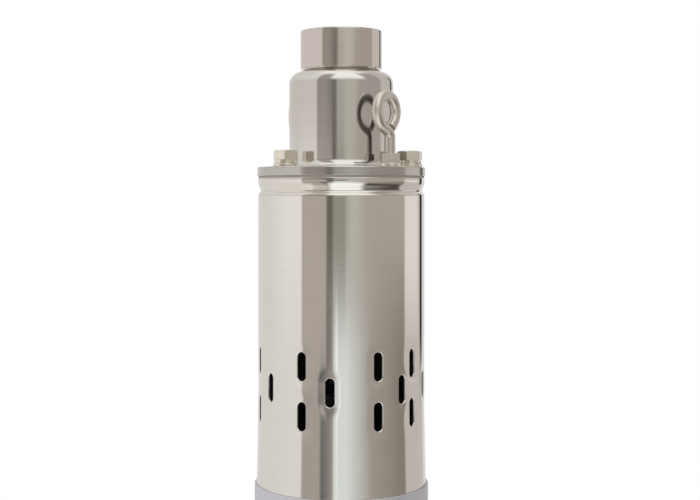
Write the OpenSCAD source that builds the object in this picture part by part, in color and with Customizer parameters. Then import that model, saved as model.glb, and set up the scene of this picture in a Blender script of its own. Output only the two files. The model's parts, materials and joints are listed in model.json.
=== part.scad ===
// Borehole screw pump with a submersible motor, standing on its base, +Z up, origin at the centre of the base

/* [Tubes] */
// Outside diameter of the pump tube and of the motor tube
tube_d = 96; // [92:0.5:104]
// Wall of both tubes
tube_wall = 1.5; // [1.2:0.1:1.8]
// Length of the pump tube
tube_l = 175; // [168:1:200]
// Length of the motor tube
motor_l = 262; // [220:1:320]
// How much wider the pump tube is at its flared foot
flare = 1.7; // [1:0.1:2.2]
// Length of the flare
flare_l = 38; // [28:1:45]

/* [Rolled groove] */
// Distance from the tube rim down to the groove
groove_drop = 3.6; // [3:0.1:5]
// Height of the groove
groove_h = 5.8; // [5:0.1:7]
// Depth of the groove
groove_depth = 1.7; // [1:0.1:1.8]

/* [Intake slots] */
// Width of a slot
slot_w = 5; // [4:0.1:6]
// Length of a slot, round ends included
slot_l = 15.5; // [12:0.1:18]
// Distance from the foot of the tube up to the centre of the upper row
slot_rise = 71.5; // [68:0.5:78]
// Distance between rows
slot_row_step = 13.7; // [12:0.1:15]
// Turn of the middle row against the others, degrees
slot_stagger = 19.7; // [17:0.1:22]

/* [Discharge head] */
// Thickness of the head flange
flange_t = 5.2; // [4.5:0.1:7]
// How far the head flange stands out past the tube
flange_lip = 0.5; // [0.2:0.1:1]
// Distance from the bolt circle in to the bell
bell_inset = 11; // [10.9:0.1:13]
// Height of the bell above the flange
bell_h = 54.8; // [50:0.1:62]
// Wall of the bell
bell_wall = 3; // [2.5:0.1:4]
// Radius of the shoulder at the top of the bell
shoulder_r = 7; // [5:0.1:9]
// Fillet between the bell and the flange
root_fillet = 3.6; // [2.5:0.1:3.7]
// Outside diameter of the outlet socket
socket_d = 47; // [42:0.1:52]
// Height of the outlet socket
socket_h = 22; // [18:0.1:30]
// Bore of the outlet, the core of a one inch pipe thread
outlet_bore_d = 30.3; // [26:0.1:33]
// Height of the narrow neck under the outlet socket
neck_h = 1.8; // [1:0.1:3]
// Thickness of the gasket under the head
gasket_t = 1; // [0.8:0.1:2]

/* [Fasteners] */
// Distance from the tube surface in to the bolt circle
bolt_inset = 7; // [6.8:0.1:7.6]
// Thread of the head bolts
bolt_d = 8; // [7:0.5:8]
// Width across flats of the head bolts
bolt_af = 13; // [11:0.5:13]
// Height of the bolt heads
bolt_head_h = 5.2; // [4.5:0.1:6]
// Thickness of the spring washers
spring_washer_t = 2.1; // [1.5:0.1:2.5]
// Thickness of the flat washers
flat_washer_t = 1.6; // [1:0.1:2]
// Diameter of the rod of the eye bolts
eye_rod_d = 5.5; // [5:0.25:6]
// Clear diameter of the eyes
eye_clear_d = 12.4; // [10:0.1:16]
// Width across flats of the eye bolt nuts
eye_nut_af = 10; // [9:0.5:11]
// Height of the eye bolt nuts
eye_nut_h = 5.6; // [5:0.1:7]
// Height of the bend of the eye bolts above the head flange
eye_bend_rise = 15.5; // [14:0.5:18]
// Height of the tapped ring inside the tube rim
tapped_ring_h = 20; // [17:0.5:26]

/* [Screw pump] */
// Wall of the stator tube
stator_wall = 1.5; // [1:0.1:2]
// Diameter of the screw rotor's section
screw_d = 18; // [14:0.5:19]
// Offset of the rotor axis from the stator axis
eccentricity = 4; // [3:0.1:4.2]
// Pitch of the screw rotor
screw_pitch = 33; // [28:0.5:40]
// Clearance between the screw rotor and the rubber
screw_gap = 0.3; // [0.2:0.05:0.5]
// Distance between the balls of the drive rod
rod_span = 42; // [41:0.5:56]
// Diameter of the drive rod
rod_d = 10; // [8:0.5:11]
// Diameter of the balls at the rod's ends
joint_ball_d = 14; // [13:0.5:15]
// Diameter of the joint pins
pin_d = 4; // [3:0.5:4.5]

/* [Motor] */
// How far the motor's top flange stands out past the tube
collar_lip = 2; // [1.6:0.1:4]
// Height of the top flange's collar
collar_h = 38; // [36:0.5:48]
// Height of the bottom cap
cap_h = 30; // [28:0.5:40]
// Diameter of the motor shaft
shaft_d = 15; // [14:0.5:16]
// Outside diameter of the ball bearings
bearing_d = 35; // [34:0.5:38]
// Width of the ball bearings
bearing_w = 11; // [10:0.5:13]
// Balls in each bearing
bearing_balls = 8; // [6:1:8]
// Share of the motor tube's inside that the bore of the stator core takes
core_bore_share = 0.495; // [0.48:0.005:0.53]
// Air gap between the stator core and the rotor core
air_gap = 0.4; // [0.3:0.05:0.6]
// Height of the winding heads
winding_h = 22; // [16:0.5:26]

/* [Hidden] */
$fn = 64;

// Clearance of a seat inside one body, and between pieces that turn past each other
seat_gap = 0.1;
run_gap = 0.3;
// Clearance of a bearing ball in its tracks
track_gap = 0.08;

// Angles of the slot groups round the tube, unevenly spaced as punched
slot_angles = [-116.5, -68.25, -15.9, 14.7, 49, 100, 158, 211];
slot_rows = 3;

// Angles of the head bolts and of the eye bolts, and how each is turned on its own axis
bolt_angles = [-90, 30, 150];
bolt_turns = [25, 4, 20];
eye_angles = [0, 180];
eye_turns = [102.5, 133];
eye_nut_turns = [30, 10];

// Radii that follow from the tubes
tube_r = tube_d / 2;
tube_in_r = tube_r - tube_wall;
bolt_r = tube_r - bolt_inset;
flange_r = tube_r + flange_lip;
collar_r = tube_r + collar_lip;
bell_r = bolt_r - bell_inset;
bell_in_r = bell_r - bell_wall;
bell_clear = 1;
stator_r = bell_in_r - bell_clear;
socket_r = socket_d / 2;
outlet_r = outlet_bore_d / 2;

// Heights, from the base up
tube_z = cap_h + motor_l + collar_h;
rim_z = tube_z + tube_l;
flange_z = rim_z + gasket_t;
flange_top_z = flange_z + flange_t;
bell_top_z = flange_top_z + bell_h;
socket_z = bell_top_z + neck_h;
outlet_z = socket_z + socket_h;
collar_z = cap_h + motor_l;

// Threads are drawn plain: the hole at its core, the screw a seat_gap smaller
function core_r(d) = 0.425 * d;
function thread_r(d) = core_r(d) - seat_gap;
function hex_r(af) = af / 2 / cos(30);

// Fasteners and their holes
bolt_hole_gap = 0.4;
washer_w = 3.2;
spring_washer_w = 2.4;
spring_slit_w = 1.2;
thread_end_gap = 2;
thread_end_z = rim_z - tapped_ring_h + thread_end_gap;
gasket_inset = 0.5;
groove_low_share = 0.72;
mouth_chamfer = 1.2;
neck_inset = 1.2;
outlet_spigot_r = outlet_r + 2;

// Eye bolts: thread, shank, bend to one side, straight run, loop, then a straight tail back to the shank
eye_bend_r = 5;
eye_bend = 65;
eye_run_l = 4.85;
eye_loop_angle = 284;
eye_tail_l = 4;
eye_r = eye_rod_d / 2;
eye_loop_r = (eye_clear_d + eye_rod_d) / 2;
eye_bend_z = flange_top_z + eye_bend_rise;
eye_run_x = -eye_bend_r * (1 - cos(eye_bend)) - eye_run_l * sin(eye_bend);
eye_run_z = eye_bend_z + eye_bend_r * sin(eye_bend) + eye_run_l * cos(eye_bend);
eye_centre = [eye_run_x + eye_loop_r * cos(eye_bend), eye_run_z + eye_loop_r * sin(eye_bend)];
eye_tail_turn = eye_bend - eye_loop_angle;
eye_bend_steps = 6;
eye_loop_steps = 36;

// Stator, rotor and drive line
stator_flange_t = 4;
stator_flange_w = 7;
outlet_gap = 11;
stator_top_z = bell_top_z - bell_wall - outlet_gap;
rubber_r = stator_r - stator_wall - seat_gap;
screw_r = screw_d / 2;
screw_top_over = 4;
screw_bottom_over = 5;
ball_r = joint_ball_d / 2;
cup_wall = 5;
cup_r = ball_r + cup_wall;
cup_above_ball = 11;
cup_below_ball = 7;
cup_ball_gap = 1;
lower_ball_rise = 32;
lower_ball_z = tube_z + lower_ball_rise;
upper_ball_z = lower_ball_z + rod_span;
screw_z = upper_ball_z + cup_above_ball;
stator_z = screw_z + screw_bottom_over;
stator_l = stator_top_z - stator_z;
rod_tilt = atan(eccentricity / rod_span);
rod_l = norm([eccentricity, 0, rod_span]);
pin_swing_gap = 0.9;
pin_short = 1;
boot_t = 2.2;
boot_neck_wall = 4;
boot_neck_r = rod_d / 2 + boot_neck_wall;
boot_neck_rise = 6;
boot_neck_h = 4;
boot_grip = 10;

// Motor stack
shaft_r = shaft_d / 2;
housing_h = 30;
housing_wall = 8;
housing_web = 8;
housing_drop = 6;
spigot_h = 14;
hub_wall = 5.5;
hub_r = bearing_d / 2 + hub_wall;
lower_bearing_z = cap_h + housing_drop + housing_web;
bearing_relief = 2;
bearing_seat_h = bearing_w + bearing_relief;
housing_bore_r = 5;
upper_bearing_drop = 24;
upper_bearing_z = collar_z - upper_bearing_drop;
flange_floor = 10;
flange_floor_z = collar_z - flange_floor;
flange_step = 1;
hub_drop = 2;
hub_lap = 0.5;
shaft_hole_r = shaft_r + 1;
core_gap = 4;
core_z = cap_h + housing_h + core_gap + winding_h;
core_top_z = collar_z - spigot_h - core_gap - winding_h;
core_bore_r = core_bore_share * tube_in_r;
rotor_r = core_bore_r - air_gap;
shaft_step = 2.5;
core_shaft_r = shaft_r + shaft_step;
end_ring_h = 6;
end_ring_w = 8.4;
end_ring_inset = 0.6;
winding_inset = 3;
winding_gap = 2;
winding_round = 5;
pump_spigot_h = 22;
pump_spigot_wall = 4.5;
cap_wall = 10;
cap_floor = 6;
cap_hole_r = 3;
cap_fillet = 2;
cap_screw_d = 4;
cap_screw_head_h = 4;
cap_screw_sink = 1;
cap_thread_l = 12;
cap_hole_gap = 0.3;
cap_screw_r = tube_in_r - housing_wall / 2 - seat_gap;
cap_screw_count = 4;
diaphragm_t = 1.5;
diaphragm_depth = 12;
diaphragm_slope = 4;
diaphragm_clear = 1;
ring_section_r = 1.4;
ring_groove_d = 2 * ring_section_r + seat_gap;
ring_groove_h = 2 * ring_section_r + 4 * seat_gap;
upper_ring_z = collar_z - 0.55 * spigot_h;
lower_ring_drop = 8;
lower_ring_z = cap_h + housing_h - lower_ring_drop;

// Ball bearings
bearing_r = (bearing_d / 2 + shaft_r) / 2;
bearing_ball_r = 0.3 * (bearing_d / 2 - shaft_r);
race_t = (bearing_d / 2 - shaft_r) / 2 - 0.62 * bearing_ball_r;
race_relief = 0.8;
race_relief_r = shaft_r + race_t + race_relief;
cage_t = 1.6;
cage_rim = 1;

// Shaft seal
seat_h = 8;
seat_drop = 4;
seal_seat_z = tube_z - seat_drop - seat_h;
seal_seat_w = 6.5;
seal_seat_r = shaft_r + seal_seat_w;
seat_ring_w = 2;
seal_spring_wire_r = 0.9;
seal_spring_w = 3.6;
seal_bellows_w = 2.4;
seal_face_inset = 1.5;
seal_bore_gap = 0.6;
seal_face_h = 4;
seal_face_z = tube_z - seal_face_h + seat_gap;
slinger_t = 3;
slinger_reach = 6;
shaft_thread_l = 10;
cup_floor_z = lower_ball_z - ball_r - cup_ball_gap;
cup_bottom_z = cup_floor_z - shaft_thread_l;
seal_top_z = cup_bottom_z - slinger_t;

// Cable gland in a flat milled into the back of the collar
gland_z = collar_z + collar_h / 2;
gland_flat = 7;
gland_hole_r = 6;
gland_nut_af = 20;
gland_nut_t = 6;
gland_cable_r = 3.5;
gland_depth = 13;
gland_pocket_w = 32;
gland_pocket_h = 26;
gland_thread_l = 4;
gland_mouth_gap = 0.5;
grommet_l = 6;
gland_angle = 90;
plug_angle = 215;
plug_d = 8;
plug_depth = 16;
plug_sink = 5;
plug_head_r = 6.8;
plug_head_h = 4.2;
plug_thread_l = 9;
plug_key_af = 5;
plug_key_depth = 2.7;
passage_r = 3;

// Shared shapes

module ring(r_out, r_in, z, h) {
    translate([0, 0, z])
        rotate_extrude()
            translate([r_in, 0])
                square([r_out - r_in, h]);
}

module o_ring(r, section_r, z) {
    translate([0, 0, z])
        rotate_extrude()
            translate([r, 0])
                circle(section_r, $fn = 24);
}

module stadium(l, w) {
    square([l - w, w], center = true);
    for (side = [-1, 1])
        translate([side * (l - w) / 2, 0])
            circle(w / 2, $fn = 24);
}

module hex_prism(af, h) {
    chamfer = 0.1 * af;
    intersection() {
        cylinder(r = hex_r(af), h = h, $fn = 6);
        rotate_extrude()
            polygon([[0, 0], [hex_r(af), 0], [hex_r(af), h - chamfer / 2], [hex_r(af) - chamfer, h], [0, h]]);
    }
}

module at_angles(angles) {
    for (i = [0 : len(angles) - 1])
        rotate(angles[i])
            translate([bolt_r, 0, 0])
                rotate(-angles[i]) {
                    $place = i;
                    children();
                }
}

module fastener_holes(r_bolt, r_eye, z, h) {
    at_angles(bolt_angles)
        translate([0, 0, z])
            cylinder(r = r_bolt, h = h);
    at_angles(eye_angles)
        translate([0, 0, z])
            cylinder(r = r_eye, h = h);
}

// Faces that join rings of points into a closed tube
function tube_faces(steps, sides) = concat(
    [[for (j = [0 : sides - 1]) j]],
    [
        for (i = [0 : steps - 1])
            for (j = [0 : sides - 1])
                let (k = (j + 1) % sides)
                    [i * sides + j, (i + 1) * sides + j, (i + 1) * sides + k, i * sides + k]
    ],
    [[for (j = [sides - 1 : -1 : 0]) steps * sides + j]]
);

// Radius of the pump tube's outside at height z in its flared foot
function foot_r(z) = tube_r + flare / 2 * max(0, 1 - (z - tube_z) / flare_l);

// Pump end

module outlet_socket() {
    chamfer = 0.8;
    color("#c9c4bb")
        rotate_extrude($fn = 96)
            polygon([
                [outlet_r, bell_top_z - bell_wall],
                [outlet_spigot_r, bell_top_z - bell_wall],
                [outlet_spigot_r, bell_top_z],
                [socket_r - neck_inset, bell_top_z],
                [socket_r - neck_inset, socket_z - chamfer / 2],
                [socket_r - chamfer, socket_z],
                [socket_r, socket_z + chamfer],
                [socket_r, outlet_z - chamfer],
                [socket_r - chamfer, outlet_z],
                [outlet_r + mouth_chamfer, outlet_z],
                [outlet_r, outlet_z - mouth_chamfer]
            ]);
}

module bell_outline(r, top, shoulder) {
    translate([0, flange_z])
        square([r, top - shoulder - flange_z]);
    translate([0, top - shoulder])
        square([r - shoulder, shoulder]);
    translate([r - shoulder, top - shoulder])
        intersection() {
            circle(shoulder);
            square(shoulder);
        }
}

module flange_outline() {
    edge = 1;
    translate([0, flange_z])
        square([flange_r, flange_t - edge]);
    translate([0, flange_z])
        square([flange_r - edge, flange_t]);
    translate([flange_r - edge, flange_top_z - edge])
        circle(edge);
    translate([bell_r, flange_top_z])
        difference() {
            square(root_fillet);
            translate([root_fillet, root_fillet])
                circle(root_fillet);
        }
}

module discharge_head() {
    eye_hole_r = eye_r + bolt_hole_gap;
    bolt_hole_r = bolt_d / 2 + bolt_hole_gap;
    color("#bdb7ad")
        difference() {
            rotate_extrude($fn = 96)
                difference() {
                    union() {
                        bell_outline(bell_r, bell_top_z, shoulder_r);
                        flange_outline();
                    }
                    bell_outline(bell_in_r, bell_top_z - bell_wall, shoulder_r - bell_wall / 2);
                }
            cylinder(r = outlet_spigot_r + seat_gap, h = bell_top_z + 1);
            fastener_holes(bolt_hole_r, eye_hole_r, flange_z - 1, flange_t + 2);
        }
}

module head_gasket() {
    color("#6b645b")
        difference() {
            ring(tube_r - gasket_inset, bell_in_r, rim_z, gasket_t);
            fastener_holes(bolt_d / 2 + bolt_hole_gap, eye_r + bolt_hole_gap, rim_z - 1, gasket_t + 2);
        }
}

// The groove's profile from the rim down, as steps inward from a wall at radius r
function groove_steps(r) = [
    [r, rim_z - groove_drop],
    [r - groove_depth, rim_z - groove_drop - groove_low_share * groove_h],
    [r, rim_z - groove_drop - groove_h]
];

module tapped_ring() {
    r = tube_in_r - seat_gap;
    in_r = stator_r + seat_gap;
    seat_r = stator_r + stator_flange_w + seat_gap;
    color("#8f8a82")
        difference() {
            rotate_extrude($fn = 96)
                polygon(concat(
                    [[seat_r, rim_z], [r, rim_z]],
                    groove_steps(r),
                    [
                        [r, rim_z - tapped_ring_h],
                        [in_r, rim_z - tapped_ring_h],
                        [in_r, rim_z - stator_flange_t],
                        [seat_r, rim_z - stator_flange_t]
                    ]
                ));
            fastener_holes(core_r(bolt_d), core_r(eye_rod_d), rim_z - tapped_ring_h - 1, tapped_ring_h + 2);
        }
}

module head_bolts() {
    head_z = flange_top_z + flat_washer_t + spring_washer_t;
    color("#b3ad98")
        at_angles(bolt_angles) {
            translate([0, 0, head_z])
                rotate(bolt_turns[$place])
                    hex_prism(bolt_af, bolt_head_h);
            translate([0, 0, rim_z])
                cylinder(r = bolt_d / 2, h = head_z - rim_z);
            translate([0, 0, thread_end_z])
                cylinder(r = thread_r(bolt_d), h = rim_z - thread_end_z);
        }
}

module bolt_spring_washers() {
    r_in = bolt_d / 2 + seat_gap;
    r_out = r_in + spring_washer_w;
    color("#a9a596")
        at_angles(bolt_angles)
            difference() {
                ring(r_out, r_in, flange_top_z + flat_washer_t, spring_washer_t);
                rotate(bolt_turns[$place] + 20)
                    translate([r_in / 2, -spring_slit_w / 2, flange_top_z])
                        cube([r_out, spring_slit_w, flat_washer_t + 2 * spring_washer_t]);
            }
}

module bolt_flat_washers() {
    color("#b8b4a6")
        at_angles(bolt_angles)
            ring(bolt_d / 2 + washer_w, bolt_d / 2 + 2 * seat_gap, flange_top_z, flat_washer_t);
}

// Stations along an eye bolt, each [across, height, turn to the left of upright, radius]
eye_stations = concat(
    [[0, thread_end_z, 0, thread_r(eye_rod_d)], [0, rim_z, 0, thread_r(eye_rod_d)], [0, rim_z, 0, eye_r]],
    [
        for (i = [0 : eye_bend_steps])
            let (t = eye_bend * i / eye_bend_steps)
                [-eye_bend_r * (1 - cos(t)), eye_bend_z + eye_bend_r * sin(t), t, eye_r]
    ],
    [
        for (i = [0 : eye_loop_steps])
            let (t = eye_bend - eye_loop_angle * i / eye_loop_steps)
                [eye_centre[0] - eye_loop_r * cos(t), eye_centre[1] - eye_loop_r * sin(t), t, eye_r]
    ],
    [[
        eye_centre[0] - eye_loop_r * cos(eye_tail_turn) - eye_tail_l * sin(eye_tail_turn),
        eye_centre[1] - eye_loop_r * sin(eye_tail_turn) + eye_tail_l * cos(eye_tail_turn),
        eye_tail_turn,
        eye_r
    ]]
);

// The rings of points round those stations
function rod_points(stations, sides) = [
    for (s = stations)
        for (j = [0 : sides - 1])
            let (b = 360 * j / sides, d = s[3] * cos(b))
                [s[0] + d * cos(s[2]), -s[3] * sin(b), s[1] + d * sin(s[2])]
];

module eye_bolt() {
    sides = 16;
    polyhedron(
        points = rod_points(eye_stations, sides),
        faces = tube_faces(len(eye_stations) - 1, sides)
    );
}

module eye_bolt_front() {
    color("#c4bfb4")
        rotate(eye_angles[0])
            translate([bolt_r, 0, 0])
                rotate(eye_turns[0] - eye_angles[0])
                    eye_bolt();
}

module eye_bolt_rear() {
    color("#c4bfb4")
        rotate(eye_angles[1])
            translate([bolt_r, 0, 0])
                rotate(eye_turns[1] - eye_angles[1])
                    eye_bolt();
}

module eye_bolt_nuts() {
    color("#b9b4ab")
        at_angles(eye_angles)
            translate([0, 0, flange_top_z + flat_washer_t])
                difference() {
                    rotate(eye_nut_turns[$place])
                        hex_prism(eye_nut_af, eye_nut_h);
                    translate([0, 0, -1])
                        cylinder(r = eye_r + seat_gap, h = eye_nut_h + 2);
                }
}

module eye_bolt_washers() {
    color("#b8b4a6")
        at_angles(eye_angles)
            ring(eye_r + washer_w, eye_r + 2 * seat_gap, flange_top_z, flat_washer_t);
}

module slot_cut(angle, z) {
    rotate(angle)
        translate([tube_r - slot_l / 2, 0, z])
            rotate([0, 90, 0])
                linear_extrude(height = slot_l)
                    stadium(slot_l, slot_w);
}

module pump_tube() {
    color("#cdc8c0")
        difference() {
            rotate_extrude($fn = 128)
                polygon(concat(
                    [[tube_in_r, rim_z], [tube_r, rim_z]],
                    groove_steps(tube_r),
                    [
                        [tube_r, tube_z + flare_l],
                        [foot_r(tube_z), tube_z],
                        [foot_r(tube_z) - tube_wall, tube_z],
                        [tube_in_r, tube_z + flare_l]
                    ],
                    [for (i = [2 : -1 : 0]) groove_steps(tube_in_r)[i]]
                ));
            for (row = [0 : slot_rows - 1])
                for (angle = slot_angles)
                    slot_cut(angle + (row % 2) * slot_stagger, tube_z + slot_rise - row * slot_row_step);
        }
}

// Screw pump

module stator_tube() {
    color("#9c978f")
        rotate_extrude()
            polygon([
                [stator_r - stator_wall, stator_z],
                [stator_r, stator_z],
                [stator_r, rim_z - stator_flange_t],
                [stator_r + stator_flange_w, rim_z - stator_flange_t],
                [stator_r + stator_flange_w, rim_z],
                [stator_r, rim_z],
                [stator_r, stator_top_z],
                [stator_r - stator_wall, stator_top_z]
            ]);
}

// The cavity is a stadium that turns half as fast as the screw
module stator_rubber() {
    cavity_w = screw_d + 2 * screw_gap;
    color("#262626")
        translate([0, 0, stator_z])
            linear_extrude(height = stator_l, twist = -180 * stator_l / screw_pitch, slices = 60, $fn = 24)
                difference() {
                    circle(rubber_r, $fn = 28);
                    stadium(4 * eccentricity + cavity_w, cavity_w);
                }
}

module screw_rotor() {
    screw_l = stator_top_z + screw_top_over - screw_z;
    color("#d6d6d4")
        translate([eccentricity, 0, screw_z])
            rotate(360 * (screw_z - stator_z) / screw_pitch)
                linear_extrude(height = screw_l, twist = -360 * screw_l / screw_pitch, slices = 88, $fn = 20)
                    translate([eccentricity, 0])
                        circle(screw_r);
}

// A cup that holds a ball of the drive rod, its mouth facing up; the pin crosses it along Y
module joint_cup(below, above) {
    difference() {
        translate([0, 0, -below])
            cylinder(r = cup_r, h = below + above);
        translate([0, 0, -ball_r - cup_ball_gap])
            cylinder(r = ball_r + run_gap, h = ball_r + 2 * cup_ball_gap + above);
        rotate([90, 0, 0])
            cylinder(r = pin_d / 2 + seat_gap / 2, h = 3 * cup_r, center = true);
    }
}

module joint_pin(x, z) {
    translate([x, 0, z])
        rotate([90, 0, 0])
            cylinder(r = pin_d / 2, h = 2 * cup_r - pin_short, center = true);
}

module rotor_cup() {
    color("#c2c2c0")
        translate([eccentricity, 0, upper_ball_z])
            mirror([0, 0, 1])
                joint_cup(cup_above_ball, cup_below_ball);
}

module upper_joint_pin() {
    color("#8c8c8c") joint_pin(eccentricity, upper_ball_z);
}

module lower_joint_pin() {
    color("#8c8c8c") joint_pin(0, lower_ball_z);
}

module rod_axis() {
    translate([0, 0, lower_ball_z])
        rotate([0, rod_tilt, 0])
            children();
}

module drive_rod() {
    color("#b5b5b3")
        difference() {
            rod_axis() {
                cylinder(r = rod_d / 2, h = rod_l);
                sphere(ball_r);
                translate([0, 0, rod_l])
                    sphere(ball_r);
            }
            for (end = [[0, lower_ball_z], [eccentricity, upper_ball_z]])
                translate([end[0], 0, end[1]])
                    rotate([90, 0, 0])
                        cylinder(r = pin_d / 2 + pin_swing_gap, h = 4 * ball_r, center = true);
        }
}

// A rubber boot over a cup, with its neck round the rod; drawn for a cup whose mouth faces up
module joint_boot() {
    neck_z = cup_below_ball + boot_neck_rise;
    neck_top_z = neck_z + boot_neck_h;
    foot_z = cup_below_ball - boot_grip;
    in_r = cup_r + run_gap;
    rotate_extrude()
        polygon([
            [in_r, foot_z],
            [in_r + boot_t, foot_z],
            [in_r + boot_t, cup_below_ball + boot_t / 2],
            [boot_neck_r, neck_z],
            [boot_neck_r, neck_top_z],
            [0, neck_top_z],
            [0, neck_z - boot_t / 2],
            [boot_neck_r - boot_t, neck_z - boot_t / 2],
            [in_r, cup_below_ball + run_gap]
        ]);
}

module boot_bore() {
    rod_axis() cylinder(r = rod_d / 2 + run_gap, h = rod_l);
}

module upper_joint_boot() {
    color("#1f1f1f")
        difference() {
            translate([eccentricity, 0, upper_ball_z])
                mirror([0, 0, 1])
                    joint_boot();
            boot_bore();
        }
}

module lower_joint_boot() {
    color("#1f1f1f")
        difference() {
            translate([0, 0, lower_ball_z])
                joint_boot();
            boot_bore();
        }
}

module shaft_cup() {
    color("#a8a8a6")
        difference() {
            translate([0, 0, lower_ball_z])
                joint_cup(lower_ball_z - cup_bottom_z, cup_below_ball);
            translate([0, 0, cup_bottom_z - 1])
                cylinder(r = core_r(shaft_d), h = shaft_thread_l + 2);
        }
}

// Shaft seal

module sand_slinger() {
    color("#242424")
        ring(cup_r + slinger_reach, shaft_r + seat_gap, seal_top_z, slinger_t);
}

// Ring points of a coil of wire
function coil_points(r, wire_r, h, turns, steps, sides) = [
    for (i = [0 : steps])
        for (j = [0 : sides - 1])
            let (a = 360 * turns * i / steps, b = 360 * j / sides, d = r + wire_r * cos(b))
                [d * cos(a), d * sin(a), h * i / steps + wire_r * sin(b)]
];

module seal_spring() {
    wire_r = seal_spring_wire_r;
    coil_r = shaft_r + seal_spring_w;
    turns = 3.5;
    steps = 63;
    sides = 8;
    bottom_z = tube_z + seat_gap + wire_r;
    coil_h = seal_top_z - seat_gap - wire_r - bottom_z;
    color("#b0b0ae")
        translate([0, 0, bottom_z])
            polyhedron(
                points = coil_points(coil_r, wire_r, coil_h, turns, steps, sides),
                faces = tube_faces(steps, sides)
            );
}

module seal_bellows() {
    color("#1c1c1c")
        ring(shaft_r + seal_bellows_w, shaft_r + seat_gap, tube_z, seal_top_z - tube_z);
}

module seal_face() {
    color("#3a3a3c")
        ring(seal_seat_r - seal_face_inset, shaft_r + seat_gap, seal_face_z, tube_z - seal_face_z);
}

module seal_seat() {
    color("#e4e0d6")
        ring(seal_seat_r, shaft_r + seal_bore_gap, seal_seat_z, seat_h);
}

module seal_seat_ring() {
    color("#202020")
        ring(seal_seat_r + seat_ring_w, seal_seat_r + seat_gap, seal_seat_z, seat_h - seat_ring_w);
}

// Motor

module gland_place() {
    rotate(gland_angle)
        translate([collar_r - gland_flat, 0, gland_z])
            rotate([0, 90, 0])
                children();
}

module plug_place() {
    rotate(plug_angle)
        translate([collar_r, 0, gland_z])
            rotate([0, 90, 0])
                children();
}

// A drilled way from the gland or the plug down into the motor
module passage(angle, r) {
    rotate(angle)
        translate([r, 0, collar_z - spigot_h - 1])
            cylinder(r = passage_r, h = gland_z - collar_z + spigot_h + 1);
}

module flange_profile() {
    chamfer = 1;
    in_r = tube_in_r - seat_gap;
    spigot_top = tube_z + pump_spigot_h;
    polygon([
        [shaft_hole_r, flange_floor_z],
        [hub_r, flange_floor_z],
        [hub_r, flange_floor_z + flange_step],
        [in_r - housing_wall, flange_floor_z + flange_step],
        [in_r - housing_wall, collar_z - spigot_h],
        [in_r, collar_z - spigot_h],
        [in_r, upper_ring_z - ring_groove_h / 2],
        [in_r - ring_groove_d, upper_ring_z - ring_groove_h / 2],
        [in_r - ring_groove_d, upper_ring_z + ring_groove_h / 2],
        [in_r, upper_ring_z + ring_groove_h / 2],
        [in_r, collar_z],
        [collar_r - chamfer, collar_z],
        [collar_r, collar_z + chamfer],
        [collar_r, tube_z - chamfer / 2],
        [collar_r - chamfer / 2, tube_z],
        [foot_r(tube_z) - tube_wall - seat_gap, tube_z],
        [foot_r(spigot_top) - tube_wall - seat_gap, spigot_top],
        [foot_r(spigot_top) - tube_wall - pump_spigot_wall, spigot_top],
        [foot_r(spigot_top) - tube_wall - pump_spigot_wall - chamfer, tube_z],
        [seal_seat_r + seat_ring_w + seat_gap, tube_z],
        [seal_seat_r + seat_ring_w + seat_gap, seal_seat_z],
        [shaft_hole_r, seal_seat_z]
    ]);
}

module motor_top_flange() {
    hub_z = upper_bearing_z - hub_drop;
    bearing_top_z = upper_bearing_z + bearing_w;
    color("#a7a5ab")
        difference() {
            union() {
                rotate_extrude($fn = 96) flange_profile();
                ring(hub_r, bearing_d / 2 + seat_gap, hub_z, flange_floor_z + hub_lap - hub_z);
                ring(hub_r, race_relief_r, bearing_top_z, flange_floor_z + hub_lap - bearing_top_z);
            }
            gland_place() {
                translate([-gland_pocket_h / 2, -gland_pocket_w / 2, 0])
                    cube([gland_pocket_h, gland_pocket_w, 2 * gland_flat]);
                translate([0, 0, -gland_depth])
                    cylinder(r = gland_hole_r, h = gland_depth + 1);
            }
            passage(gland_angle, collar_r - gland_flat - gland_depth + passage_r);
            passage(plug_angle, collar_r - plug_depth + passage_r);
            plug_place() {
                translate([0, 0, -plug_sink])
                    cylinder(r = plug_head_r + 2 * seat_gap, h = 2 * plug_sink);
                translate([0, 0, -plug_depth])
                    cylinder(r = core_r(plug_d), h = plug_depth);
            }
        }
}

module gland_nut() {
    color("#b5b2ad")
        gland_place()
            difference() {
                union() {
                    hex_prism(gland_nut_af, gland_nut_t);
                    translate([0, 0, -gland_thread_l])
                        cylinder(r = gland_hole_r - seat_gap, h = gland_thread_l);
                }
                translate([0, 0, -gland_thread_l - 1])
                    cylinder(r = gland_cable_r + gland_mouth_gap, h = gland_nut_t + gland_thread_l + 2);
            }
}

module gland_grommet() {
    color("#1d1d1d")
        gland_place()
            translate([0, 0, -gland_thread_l - grommet_l])
                difference() {
                    cylinder(r = gland_hole_r - seat_gap, h = grommet_l);
                    translate([0, 0, -1])
                        cylinder(r = gland_cable_r, h = grommet_l + 2);
                }
}

module oil_plug() {
    color("#b3ad98")
        plug_place()
            difference() {
                union() {
                    translate([0, 0, -plug_sink])
                        cylinder(r = plug_head_r, h = plug_head_h);
                    translate([0, 0, -plug_sink - plug_thread_l])
                        cylinder(r = thread_r(plug_d), h = plug_thread_l);
                }
                translate([0, 0, plug_head_h - plug_sink - plug_key_depth])
                    cylinder(r = hex_r(plug_key_af), h = plug_sink, $fn = 6);
            }
}

module upper_o_ring() {
    color("#1b1b1b")
        o_ring(tube_in_r - ring_section_r - seat_gap, ring_section_r, upper_ring_z);
}

// Ball bearings: two rings with a round track, balls, and a cage with a pocket for each ball

module bearing_race(r_out, r_in, z) {
    color("#c9c9c8")
        translate([0, 0, z])
            rotate_extrude()
                difference() {
                    translate([r_in, 0])
                        square([r_out - r_in, bearing_w]);
                    translate([bearing_r, bearing_w / 2])
                        circle(bearing_ball_r + track_gap);
                }
}

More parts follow.
